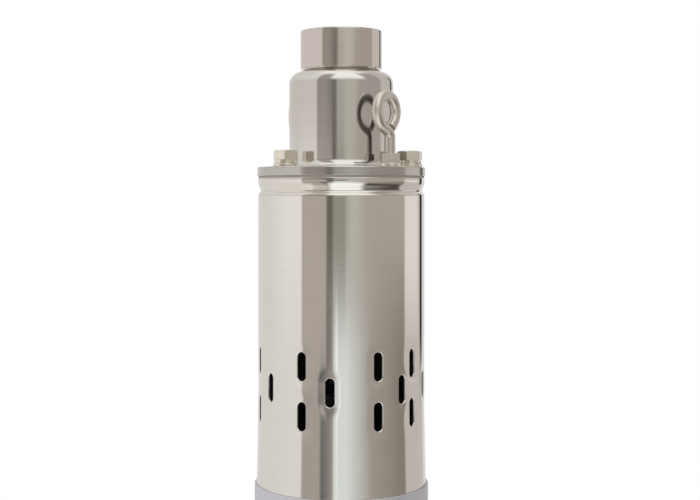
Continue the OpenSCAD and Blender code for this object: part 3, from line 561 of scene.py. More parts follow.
def hexagon(flats, z, height, turn, bore=0.0):
    """A hexagon with chamfered corners on top, as on a bolt head or a nut."""
    radius = flats / 2 / math.cos(math.radians(30))
    chamfer = 0.1 * flats
    body = prism(6, radius, z, height, turn, bevel=0.02 * flats)
    low = z - MM
    lens = turned(
        [
            (TINY, low, 0),
            (radius + MM, low, 0),
            (radius + MM, z + height - chamfer / 2 - MM * 0.5, 0),
            (radius - chamfer, z + height, 0),
            (TINY, z + height, 0),
        ],
        steps=72,
    )
    body = boolean(body, lens, "INTERSECT")
    if bore:
        body = boolean(body, prism(48, bore, z - MM, height + 2 * MM), "DIFFERENCE")
    return body


def piece(bm, name, slot, replaces=(), body=BODY, sharp=38.0, weighted=True, finish=None):
    """Puts a bmesh into the scene as a finished piece that stands for CAD nodes."""
    for face in bm.faces:
        face.smooth = True
    mesh = to_mesh(bm, name)
    mesh.set_sharp_from_angle(angle=math.radians(sharp))
    mesh.materials.append(finishes(bpy.context.scene.pump_finish)[finish or slot])
    obj = bpy.data.objects.new(name, mesh)
    bpy.context.scene.collection.objects.link(obj)
    if weighted:
        normals = obj.modifiers.new("even faces", "WEIGHTED_NORMAL")
        normals.keep_sharp = True
        normals.weight = 80
    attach(obj, body)
    if replaces:
        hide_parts(*replaces)
    return obj


def round_place(radius, degrees, z=0.0):
    a = math.radians(degrees)
    return Vector((radius * math.cos(a), radius * math.sin(a), z))


def side_place(radius, degrees, z):
    """Turns an upright shape to point outwards at a place round the axis."""
    return (
        Matrix.Translation(round_place(radius, degrees, z))
        @ Matrix.Rotation(math.radians(degrees), 4, "Z")
        @ Matrix.Rotation(math.radians(90), 4, "Y")
    )


# Pieces


class PUMP_OT_outlet_socket(bpy.types.Operator):
    """Turns the outlet socket and cuts the pipe thread inside it"""

    bl_idname = "pump.outlet_socket"
    bl_label = "Outlet socket"

    def execute(self, context):
        head = context.scene.pump_head
        root = head.bore + head.thread_depth
        foot = HEAD_TOP - head.bell_wall
        neck = HEAD_TOP + head.neck_height
        spigot = head.bore + 2 * MM
        body = turned(
            [
                (root, foot, 0),
                (spigot, foot, 0),
                (spigot, HEAD_TOP, 0),
                (head.socket_radius - head.neck_inset, HEAD_TOP, 0),
                *self.neck_grooves(head),
                (head.socket_radius, neck, 0.2 * MM),
                (head.socket_radius, SOCKET_TOP, 0.7 * MM),
                (root + 0.4 * MM, SOCKET_TOP, 0.25 * MM),
                (root, SOCKET_TOP - 1.2 * MM, 0.2 * MM),
            ],
            steps=160,
        )
        piece(
            joined([body, self.thread(head, root, foot)]),
            "outlet_socket_turned",
            "satin_head",
            ["outlet_socket"],
            finish="satin_socket",
        )
        return {"FINISHED"}

    def neck_grooves(self, head):
        """A weld bead that leans in, and a groove cut deep under the socket."""
        for inset, share in ((head.neck_inset + 1.2 * MM, 0.6), (head.undercut, 0.7), (head.undercut, 1.0)):
            yield head.socket_radius - inset, HEAD_TOP + share * head.neck_height, 0.1 * MM

    def thread(self, head, root, foot):
        """The ridge of the thread, which winds up the bore."""
        half = head.thread_pitch * 0.46
        crest = head.thread_pitch * 0.1
        rise = SOCKET_TOP - foot - 2.4 * MM - 2 * half
        turns = rise / head.thread_pitch
        section = [
            (root + 0.1 * MM, -half),
            (head.bore, -crest),
            (head.bore, crest),
            (root + 0.1 * MM, half),
        ]
        return wound(section, foot + half + 0.3 * MM, turns * math.tau, int(turns * 72), rise)


class PUMP_OT_discharge_head(bpy.types.Operator):
    """Turns the bell-shaped head with its bolt flange, and the gasket under it"""

    bl_idname = "pump.discharge_head"
    bl_label = "Discharge head"

    def execute(self, context):
        head = context.scene.pump_head
        inner = head.bell_radius - head.bell_wall
        top = HEAD_FOOT + head.flange_thickness
        hole = head.bore + 2.1 * MM
        bm = turned(
            [
                (inner, HEAD_FOOT, 0.3 * MM),
                (head.flange_radius, HEAD_FOOT, 0.25 * MM),
                (head.flange_radius, top, 0.9 * MM),
                (head.bell_radius, top, head.root),
                (head.bell_radius, HEAD_TOP, head.shoulder),
                (hole, HEAD_TOP, 0),
                (hole, HEAD_TOP - head.bell_wall, 0),
                (inner, HEAD_TOP - head.bell_wall, head.shoulder - head.bell_wall / 2),
            ],
            steps=192,
            segments=10,
        )
        piece(bm, "discharge_head_turned", "satin_head", ["discharge_head"])
        outer = context.scene.pump_tube.radius - 0.2 * MM
        gasket = ring(inner, outer, GASKET_FOOT, GASKET_TOP, (0, 0.1 * MM, 0.1 * MM, 0), 160, 3)
        piece(gasket, "head_gasket_ring", "fibre_sheet", ["head_gasket"])
        return {"FINISHED"}


class PUMP_OT_pump_tube(bpy.types.Operator):
    """Rolls the groove of the pump tube, punches its intake slots and dishes the wall round them"""

    bl_idname = "pump.pump_tube"
    bl_label = "Pump tube"

    def execute(self, context):
        tube = context.scene.pump_tube
        bm = self.rolled(tube)
        bm = boolean(bm, self.punches(tube), "DIFFERENCE")
        self.dish(bm, tube)
        obj = piece(bm, "pump_tube_rolled", "polished_tube", ["pump_tube"], sharp=60, weighted=False)
        self.even_wall(obj.data, tube)
        # Painted shade inside the tube and on its slot walls
        self.bare_inside(obj.data)
        return {"FINISHED"}

    def bare_inside(self, mesh):
        """The inside of the tube and the punched walls of its slots get near black steel, painted shade that stands
        in for the shade inside the tube.
        """
        mesh.materials.append(finishes(bpy.context.scene.pump_finish)["bare_inside"])
        for face in mesh.polygons:
            outward = Vector((face.center.x, face.center.y, 0)).normalized()
            rim = face.center.z > TUBE_RIM - TINY or face.center.z < TUBE_FOOT + TINY
            if face.normal.dot(outward) < 0.2 and not rim:
                face.material_index = 1

    def rolled(self, tube):
        outer, inner = tube.radius, tube.radius - tube.wall
        groove_top = TUBE_RIM - tube.groove_drop
        groove_low = groove_top - 0.72 * tube.groove_height
        groove_foot = groove_top - tube.groove_height
        depth = tube.groove_depth
        bm = turned(
            [
                (inner, TUBE_RIM, 0.2 * MM),
                (outer, TUBE_RIM, 0.5 * MM),
                (outer, groove_top, 1.4 * MM),
                (outer - depth, groove_low, 0.9 * MM),
                (outer, groove_foot, 0.7 * MM),
                (outer, TUBE_FOOT, 0.2 * MM),
                (inner, TUBE_FOOT, 0.2 * MM),
                (inner, groove_foot, 0),
                (inner - depth, groove_low, 0),
                (inner, groove_top, 0),
            ],
            steps=tube.steps,
            segments=6,
        )
        low, high = TUBE_FOOT + MM, self.slot_top(tube)
        rows = int((high - low) / (1.2 * MM))
        for height in (*np.linspace(low, high, rows + 1), self.plain_top(tube) - 0.1 * MM):
            bmesh.ops.bisect_plane(
                bm,
                geom=bm.verts[:] + bm.edges[:] + bm.faces[:],
                plane_co=(0, 0, height),
                plane_no=(0, 0, 1),
                dist=TINY,
            )
        return bm

    def plain_top(self, tube):
        return TUBE_RIM - tube.groove_drop - tube.groove_height - 1.2 * MM

    def slot_top(self, tube):
        return TUBE_FOOT + tube.slot_rise + tube.slot_length / 2 + 3 * tube.dish_reach

    def flared(self, tube, z):
        """How far the wall stands out at a height, and how steeply it runs out there, as arrays."""
        left = np.clip(1 - (z - TUBE_FOOT) / tube.flare_length, 0, 1)
        return tube.flare * left**2, 2 * tube.flare * left / tube.flare_length

    def slot_places(self, tube):
        for row in range(SLOT_ROWS):
            for angle in SLOT_ANGLES:
                yield angle + (row % 2) * tube.slot_stagger, TUBE_FOOT + tube.slot_rise - row * tube.slot_step

    def punches(self, tube):
        """A punch for each slot, flared where it breaks the outer edge."""
        flare = 0.5 * MM
        parts = []
        for angle, z in self.slot_places(tube):
            bm = bmesh.new()
            chamfer_foot = tube.radius - tube.slot_chamfer
            rings = [
                self.outline(bm, tube, tube.radius - 4 * tube.wall, 0.0),
                self.outline(bm, tube, chamfer_foot, 0.0),
                self.outline(bm, tube, tube.radius + tube.flare + flare, tube.slot_chamfer + tube.flare + flare),
            ]
            for low, high in zip(rings, rings[1:]):
                bmesh.ops.bridge_loops(bm, edges=low + high)
            for ring in (rings[0], rings[-1]):
                bmesh.ops.contextual_create(bm, geom=ring)
            bmesh.ops.recalc_face_normals(bm, faces=bm.faces)
            place = Matrix.Translation((0, 0, z)) @ Matrix.Rotation(math.radians(angle), 4, "Z")
            parts.append(moved(bm, place @ Matrix.Rotation(math.radians(90), 4, "Y")))
        return joined(parts)

    def outline(self, bm, tube, depth, grow):
        """A slot's outline at a depth along the punch: a circle with its halves drawn apart."""
        made = bmesh.ops.create_circle(bm, segments=28, radius=tube.slot_width / 2 + grow)["verts"]
        bmesh.ops.rotate(bm, matrix=Matrix.Rotation(math.pi / 28, 3, "Z"), verts=made)
        apart = (tube.slot_length - tube.slot_width) / 2
        for side in (-1, 1):
            half = [v for v in made if v.co.x * side > 0]
            bmesh.ops.translate(bm, vec=(side * apart, 0, 0), verts=half)
        bmesh.ops.translate(bm, vec=(0, 0, depth), verts=made)
        return list({e for v in made for e in v.link_edges})

    def pull(self, tube, angle, z):
        """How far the wall is pulled in at an angle and height, as arrays."""
        total = np.zeros_like(angle)
        straight = (tube.slot_length - tube.slot_width) / 2
        for slot_angle, slot_z in self.slot_places(tube):
            across = (angle - math.radians(slot_angle) + math.pi) % math.tau - math.pi
            along = np.maximum(np.abs(z - slot_z) - straight, 0)
            reach = np.maximum(np.hypot(across * tube.radius, along) - tube.slot_width / 2, 0)
            total = np.maximum(total, tube.dish_depth * np.exp(-((reach / tube.dish_reach) ** 2)))
        return total

    def dish(self, bm, tube):
        """Moves the wall in round the slots and out at its foot."""
        co = np.array([v.co for v in bm.verts])
        pull = self.pull(tube, np.arctan2(co[:, 1], co[:, 0]), co[:, 2]) - self.flared(tube, co[:, 2])[0]
        for vert, amount in zip(bm.verts, pull):
            if abs(amount) > TINY:
                vert.co.xy *= 1 - amount / vert.co.xy.length

    def even_wall(self, mesh, tube):
        """Gives the plain outer wall the normals of the true round surface, so that it mirrors without facets."""
        normals = read(mesh.corner_normals, "vector", 3)
        co = read(mesh.vertices, "co", 3)[read(mesh.loops, "vertex_index", kind=np.int32)].astype(float)
        sizes = read(mesh.polygons, "loop_total", kind=np.int32)
        facing = np.repeat(read(mesh.polygons, "normal", 3), sizes, axis=0)
        flat = np.zeros(len(co))
        angle, z = np.arctan2(co[:, 1], co[:, 0]), co[:, 2]
        outward = np.stack([np.cos(angle), np.sin(angle), flat], axis=1)
        wall = ((facing * outward).sum(axis=1) > 0.97) & (z < self.plain_top(tube))
        step = 0.1 * MM
        turn = step / tube.radius
        slope_round = (self.pull(tube, angle + turn, z) - self.pull(tube, angle - turn, z)) / (2 * step)
        slope_up = (self.pull(tube, angle, z + step) - self.pull(tube, angle, z - step)) / (2 * step)
        slope_up = slope_up + self.flared(tube, z)[1]
        round_way = np.stack([-np.sin(angle), np.cos(angle), flat], axis=1)
        true = outward + slope_round[:, None] * round_way
        true[:, 2] += slope_up
        true /= np.linalg.norm(true, axis=1)[:, None]
        normals[wall] = true[wall]
        mesh.normals_split_custom_set([tuple(n) for n in normals.tolist()])


class PUMP_OT_head_bolts(bpy.types.Operator):
    """Makes the hexagon bolts of the head with their split spring washers and flat washers"""

    bl_idname = "pump.head_bolts"
    bl_label = "Head bolts"

    def execute(self, context):
        sizes = context.scene.pump_fasteners
        bolts, springs, flats = [], [], []
        for angle, turn in BOLTS:
            place = Matrix.Translation(round_place(sizes.circle, angle))
            head = hexagon(sizes.bolt_flats, SPRING_TOP, BOLT_TOP - SPRING_TOP, turn)
            shank = prism(32, sizes.bolt_shank, WASHER_FOOT - 2 * MM, SPRING_TOP - WASHER_FOOT + 3 * MM)
            bolts.append(moved(joined([head, shank]), place))
            springs.append(moved(self.spring(sizes, turn + 20), place))
            flats.append(moved(flat_washer(sizes.bolt_shank, sizes.washer_width), place))
        piece(joined(bolts), "head_bolts_hex", "plated_bolts", ["head_bolts"])
        piece(joined(springs), "bolt_spring_washers_split", "plated_bolts", ["bolt_spring_washers"])
        piece(joined(flats), "bolt_flat_washers_pressed", "plated_bolts", ["bolt_flat_washers"])
        return {"FINISHED"}

    def spring(self, sizes, slit):
        """A washer cut through and sprung a little open."""
        inner = sizes.bolt_shank + 0.1 * MM
        thick = (SPRING_TOP - WASHER_TOP) * 0.86
        rise = SPRING_TOP - WASHER_TOP - thick
        section = [
            (inner, 0),
            (inner + sizes.spring_width, 0),
            (inner + sizes.spring_width, thick),
            (inner, thick),
        ]
        gap = 12
        bm = wound(section, WASHER_TOP, math.radians(360 - gap), 60, rise)
        return turn_bm(bm, slit + gap / 2)


def flat_washer(shank, width):
    roundings = (0.15 * MM, 0.15 * MM, 0.4 * MM, 0.15 * MM)
    return ring(shank + 0.2 * MM, shank + width, WASHER_FOOT, WASHER_TOP, roundings, 64, 4)


class PUMP_OT_eye_bolts(bpy.types.Operator):
    """Bends the eye bolts from rod and sets their nuts and washers"""

    bl_idname = "pump.eye_bolts"
    bl_label = "Eye bolts"

    def execute(self, context):
        sizes = context.scene.pump_fasteners
        nuts, washers = [], []
        for node, (angle, turn, nut_turn) in EYES.items():
            place = Matrix.Translation(round_place(sizes.circle, angle))
            rod = moved(self.bent_rod(sizes), place @ Matrix.Rotation(math.radians(turn), 4, "Z"))
            # Painted shade on the side of the rod that faces the pump's axis
            paint_inward_shade(piece(rod, node + "_bent", "bent_rod", [node]).data)
            nut = hexagon(sizes.nut_flats, NUT_FOOT, NUT_TOP - NUT_FOOT, nut_turn, sizes.rod + 0.1 * MM)
            nuts.append(moved(nut, place))
            washers.append(moved(flat_washer(sizes.rod, sizes.washer_width), place))
        nut_set = piece(joined(nuts), "eye_bolt_nuts_hex", "bent_rod", ["eye_bolt_nuts"], finish="nut_steel")
        # Painted shade on the side of the nuts that faces the pump's axis
        paint_inward_shade(nut_set.data)
        piece(joined(washers), "eye_bolt_washers_pressed", "plated_bolts", ["eye_bolt_washers"])
        return {"FINISHED"}

    def bent_rod(self, sizes):
        """A rod that rises from the flange, bends aside and loops back to its shank, in the XZ plane."""
        sides = 32
        bm = bmesh.new()
        foot = Matrix.Translation((0, 0, TUBE_RIM))
        bmesh.ops.create_circle(bm, cap_ends=True, segments=sides, radius=sizes.rod, matrix=foot)
        bend_z = WASHER_FOOT + sizes.bend_rise
        tip = self.straight(bm, bm.edges[:], Vector((0, 0, bend_z - TUBE_RIM)))
        tip = self.curve(bm, tip, (-sizes.bend_radius, 0, bend_z), (0, -1, 0), sizes.bend, 14)
        tip = self.straight(bm, tip, self.leaning(sizes.bend) * sizes.run)
        middle = sum((v.co for v in {v for e in tip for v in e.verts}), Vector()) / sides
        centre = middle + Vector((math.cos(sizes.bend), 0, math.sin(sizes.bend))) * sizes.loop
        tip = self.curve(bm, tip, centre, (0, 1, 0), sizes.loop_angle, 72)
        tip = self.straight(bm, tip, self.leaning(sizes.bend - sizes.loop_angle) * sizes.tail)
        end = bmesh.ops.contextual_create(bm, geom=tip)["faces"][0]
        bmesh.ops.recalc_face_normals(bm, faces=bm.faces)
        round_off(bm, end.edges[:], 0.5 * MM, 3)
        return bm

    def leaning(self, angle):
        return Vector((-math.sin(angle), 0, math.cos(angle)))

    def straight(self, bm, ring, way):
        made = bmesh.ops.extrude_edge_only(bm, edges=ring)["geom"]
        ends = only(bmesh.types.BMVert, made)
        bmesh.ops.translate(bm, vec=way, verts=ends)
        return [e for e in only(bmesh.types.BMEdge, made) if set(e.verts) <= set(ends)]

    def curve(self, bm, ring, centre, axis, angle, steps):
        verts = list({v for e in ring for v in e.verts})
        made = bmesh.ops.spin(bm, geom=verts + ring, cent=centre, axis=axis, angle=angle, steps=steps)["geom_last"]
        return only(bmesh.types.BMEdge, made)


# Sizes of the flange, gland, plug and cap that no setting changes
SHAFT_HOLE = 8.5 * MM
SEAL_SEAT = 16.1 * MM
SEAL_DEPTH = 12 * MM
FLANGE_REACH = 10 * MM
RIM_HEIGHT = 22 * MM
RIM_WALL = 4.4 * MM
CONE_LENGTH = 38 * MM
GLAND_BORE = 6 * MM
GLAND_STEM = 5.9 * MM
STEM_DEPTH = 4 * MM
GROMMET_DEPTH = 10 * MM
PLUG_HEAD = 4.2 * MM
PLUG_KEY = 2.887 * MM
PLUG_SHANK = 3.3 * MM
CAP_HOLE = 3 * MM
CAP_FLOOR = 6 * MM
CAP_WALL = 10 * MM
CAP_STEP = 1.5 * MM
SCREW_INSET = 4.1 * MM
SCREW_HEAD = 3.4 * MM
SCREW_KEY = 1.85 * MM
SCREW_SHANK = 2 * MM


class PUMP_OT_motor_flange(bpy.types.Operator):
    """Turns the motor's top flange, mills the flat for the cable gland and sinks the oil plug"""

    bl_idname = "pump.motor_flange"
    bl_label = "Motor top flange"

    def execute(self, context):
        tube, motor = context.scene.pump_tube, context.scene.pump_motor
        spigot = tube.radius - tube.wall - 0.1 * MM
        rim_foot = spigot + tube.flare
        rim = rim_foot - tube.flare * RIM_HEIGHT / CONE_LENGTH
        rim_top = TUBE_FOOT + RIM_HEIGHT
        bm = turned(
            [
                (SHAFT_HOLE, MOTOR_TOP - FLANGE_REACH, 0),
                (spigot, MOTOR_TOP - FLANGE_REACH, 0),
                (spigot, MOTOR_TOP, 0),
                (motor.collar_radius, MOTOR_TOP, 1.0 * MM),
                (motor.collar_radius, TUBE_FOOT, 0.6 * MM),
                (rim_foot, TUBE_FOOT, 0),
                (rim, rim_top, 0.4 * MM),
                (rim - RIM_WALL, rim_top, 0.4 * MM),
                (rim - RIM_WALL - MM, TUBE_FOOT, 0.8 * MM),
                (SEAL_SEAT, TUBE_FOOT, 0.3 * MM),
                (SEAL_SEAT, TUBE_FOOT - SEAL_DEPTH, 0),
                (SHAFT_HOLE, TUBE_FOOT - SEAL_DEPTH, 0),
            ],
            steps=192,
            segments=4,
        )
        middle = (MOTOR_TOP + TUBE_FOOT) / 2
        pocket = bmesh.new()
        bmesh.ops.create_cube(pocket, size=1.0)
        size = (motor.pocket_height, motor.pocket_width, 2 * motor.gland_flat)
        bmesh.ops.scale(pocket, vec=size, verts=pocket.verts)
        upright = [e for e in pocket.edges if abs(e.verts[0].co.z - e.verts[1].co.z) > MM]
        round_off(pocket, upright, 3 * MM, 6)
        bmesh.ops.translate(pocket, vec=(0, 0, motor.gland_flat), verts=pocket.verts)
        flat = side_place(motor.collar_radius - motor.gland_flat, GLAND_ANGLE, middle)
        plug = side_place(motor.collar_radius, PLUG_ANGLE, middle)
        bore = prism(64, GLAND_BORE, -13 * MM, 14 * MM)
        sink = prism(64, motor.plug_radius + 0.2 * MM, -motor.plug_sink, 2 * motor.plug_sink)
        for tool, place in ((pocket, flat), (bore, flat), (sink, plug)):
            bm = boolean(bm, moved(tool, place), "DIFFERENCE")
        piece(bm, "motor_top_flange_milled", "grey_casting", ["motor_top_flange"])
        return {"FINISHED"}


class PUMP_OT_cable_gland(bpy.types.Operator):
    """Makes the gland nut with its grommet, and the oil plug"""

    bl_idname = "pump.cable_gland"
    bl_label = "Cable gland and oil plug"

    def execute(self, context):
        motor = context.scene.pump_motor
        middle = (MOTOR_TOP + TUBE_FOOT) / 2
        place = side_place(motor.collar_radius - motor.gland_flat, GLAND_ANGLE, middle)
        hole = motor.cable + 0.5 * MM
        nut = hexagon(motor.gland_flats, 0.0, motor.gland_nut, 0.0, hole)
        stem = ring(hole, GLAND_STEM, -STEM_DEPTH, 0.0, (0, 0.3 * MM, 0, 0))
        piece(moved(joined([nut, stem]), place), "gland_nut_hex", "gland_steel", ["gland_nut"])
        roundings = (0.4 * MM, 0.4 * MM, 0, 0.8 * MM)
        grommet = ring(motor.cable, GLAND_STEM, -GROMMET_DEPTH, -STEM_DEPTH, roundings)
        piece(moved(grommet, place), "gland_grommet_ring", "black_rubber", ["gland_grommet"])
        self.oil_plug(motor, middle)
        return {"FINISHED"}

    def oil_plug(self, motor, middle):
        head = prism(64, motor.plug_radius, -motor.plug_sink, PLUG_HEAD)
        top = motor.plug_sink - PLUG_HEAD
        round_off(head, ring_edges(head, motor.plug_radius, -top), 0.5 * MM, 4)
        head = boolean(head, prism(6, PLUG_KEY, -3.5 * MM, 5 * MM), "DIFFERENCE")
        shank = prism(32, PLUG_SHANK, -14 * MM, 9.2 * MM)
        place = side_place(motor.collar_radius, PLUG_ANGLE, middle)
        piece(moved(joined([head, shank]), place), "oil_plug_turned", "plated_bolts", ["oil_plug"])


class PUMP_OT_motor_tube(bpy.types.Operator):
    """Makes the motor tube, the bottom cap and the cap's screws"""

    bl_idname = "pump.motor_tube"
    bl_label = "Motor tube and cap"

    def execute(self, context):
        tube, motor = context.scene.pump_tube, context.scene.pump_motor
        inner = tube.radius - tube.wall
        roundings = (0.2 * MM, 0.3 * MM, 0.3 * MM, 0.2 * MM)
        bm = ring(inner, tube.radius, MOTOR_FOOT, MOTOR_TOP, roundings, tube.steps, 4)
        piece(bm, "motor_tube_drawn", "polished_tube", ["motor_tube"])
        self.cap(tube, motor, inner)
        return {"FINISHED"}

    def cap(self, tube, motor, inner):
        circle = inner - SCREW_INSET
        wall = tube.radius - CAP_WALL
        bm = turned(
            [
                (CAP_HOLE, 0.0, 0.5 * MM),
                (tube.radius, 0.0, motor.cap_chamfer),
                (tube.radius, MOTOR_FOOT, 0.3 * MM),
                (inner, MOTOR_FOOT, 0),
                (inner, MOTOR_FOOT - CAP_STEP, 0),
                (wall, MOTOR_FOOT - CAP_STEP, 0),
                (wall, CAP_FLOOR, 2 * MM),
                (CAP_HOLE, CAP_FLOOR, 0.5 * MM),
            ],
            steps=192,
            segments=4,
        )
        places = [Matrix.Translation(round_place(circle, a)) for a in CAP_SCREW_ANGLES]
        sinks = joined([moved(prism(40, SCREW_HEAD + 0.2 * MM, -MM, 6 * MM), p) for p in places])
        bm = boolean(bm, sinks, "DIFFERENCE")
        piece(bm, "bottom_cap_turned", "grey_casting", ["bottom_cap"])
        screws = []
        for place in places:
            head = prism(40, SCREW_HEAD, MM, 4 * MM)
            round_off(head, ring_edges(head, SCREW_HEAD, MM), 0.4 * MM, 3)
            head = boolean(head, prism(6, SCREW_KEY, -MM, 4.4 * MM), "DIFFERENCE")
            shank = prism(24, SCREW_SHANK, 4.8 * MM, MOTOR_FOOT - 6.3 * MM)
            screws.append(moved(joined([head, shank]), place))
        piece(joined(screws), "cap_screws_socket", "plated_bolts", ["cap_screws"])


class PUMP_OT_inner_works(bpy.types.Operator):
    """Gives the screw pump, drive line, seal, bearings and motor inside their finishes"""

    bl_idname = "pump.inner_works"
    bl_label = "Inner works"

    def execute(self, context):
        made = finishes(context.scene.pump_finish)
        for part in frame["record"]["subparts"]:
            node = frame["nodes"][part["node"]]
            node.data.materials.clear()
            node.data.materials.append(made[part["material_slot"]])
        return {"FINISHED"}


# Studio: the plain panels that the steel mirrors, each laid over the ones before it. A panel has a colour, a bearing
# from the camera's side in degrees, positive to the right, and a height as the sine of the angle above the horizon.
# Bearing and height say where it begins and ends, and how softly it does so at either end.
ROOM = (0.46, 0.42, 0.39)
ALL = (None, None, 0, 0)
LOW = (None, -0.12, 0, 0.085)
FOOT = (None, -0.168, 0, 0.048)
EYE_LEVEL = (-0.035, 0.03, 0.085, 0.032)
ABOVE = (0.062, 0.16, 0.032, 0.25)
FLOOR = (None, -0.40, 0, 0.16)
PANELS = (
    # Left wall
    ((0.90, 0.88, 0.86), (None, -56, 0, 2), ALL),
    ((0.80, 0.79, 0.78), (None, -150, 0, 70), ALL),
    ((1.00, 0.98, 0.96), (-72, -56, 45, 2), EYE_LEVEL),
    ((0.74, 0.69, 0.67), (None, -56, 0, 2), ABOVE),
    # Gap between the left wall and the stand
    ((0.54, 0.49, 0.455), (-54.5, -22, 1, 3), (-0.12, 0.03, 0.05, 0.032)),
    ((0.36, 0.33, 0.305), (-54.5, -20, 1, 4), ABOVE),
    # Front screen, bright below and grey above
    ((0.88, 0.94, 0.94), (-9.5, 6, 3, 34), LOW),
    ((0.34, 0.335, 0.29), (-8, 4, 2, 4), EYE_LEVEL),
    ((0.60, 0.59, 0.54), (13, 24, 9, 30), EYE_LEVEL),
    ((0.51, 0.465, 0.43), (40, 95.5, 20, 2), EYE_LEVEL),
    ((0.60, 0.575, 0.53), (-7.5, 28, 2.5, 14), ABOVE),
    # Dark stand with its foot and its arm
    ((0.17, 0.16, 0.13), (-18.5, -13, 2.4, 5), (-0.035, 0.04, 0.085, 0.03)),
    ((0.19, 0.18, 0.155), (-17, -13, 18, 5), ABOVE),
    ((0.18, 0.19, 0.18), (-19, -18, 2.2, 9), (-0.12, -0.12, 0.048, 0.085)),
    ((0.15, 0.15, 0.15), (-27, -24, 3, 13), FOOT),
    ((0.30, 0.30, 0.275), (-12, 0, 4, 12), (0.10, 0.106, 0.012, 0.022)),
    # Strip light
    ((1.20, 1.25, 1.25), (-7, -6, 0.9, 2), (-0.15, -0.115, 0.03, 0.04)),
    # Shade at the right, the right wall and the black edge behind it
    ((0.30, 0.275, 0.24), (87, 95.5, 50, 2), LOW),
    ((0.66, 0.62, 0.59), (98, None, 2.5, 0), ALL),
    ((0.94, 0.90, 0.87), (98, 125, 2.5, 10), (-0.06, 0.0, 0.06, 0.04)),
    ((0.80, 0.80, 0.80), (150, None, 3, 0), ALL),
    ((0.03, 0.03, 0.03), (138, 145, 2, 3), (-0.11, 0.3, 0.05, 0.1)),
    # Floor sheet and ceiling
    ((0.88, 0.84, 0.80), (None, -46, 0, 9), FLOOR),
    ((0.50, 0.46, 0.41), (-37, -25, 9, 5), FLOOR),
    ((1.25, 1.25, 1.20), (-14, 27, 8, 8), FLOOR),
    ((0.10, 0.085, 0.07), (38, 92, 6, 3), FLOOR),
    ((1.20, 1.20, 1.17), (-18, 48, 10, 14), (0.55, None, 0.41, 0)),
    ((1.20, 1.20, 1.17), ALL, (0.97, None, 0.13, 0)),
)


# The key lamp's turn from the camera in degrees, its distance, height, aim and width in metres
LAMP_TURN, LAMP_REACH, LAMP_RISE, LAMP_AIM, LAMP_WIDTH = -50, 0.9, 1.5, 0.35, 0.9
# The picture's shift across and up, in shares of its width
SHIFT = (0.0124, -0.0807)


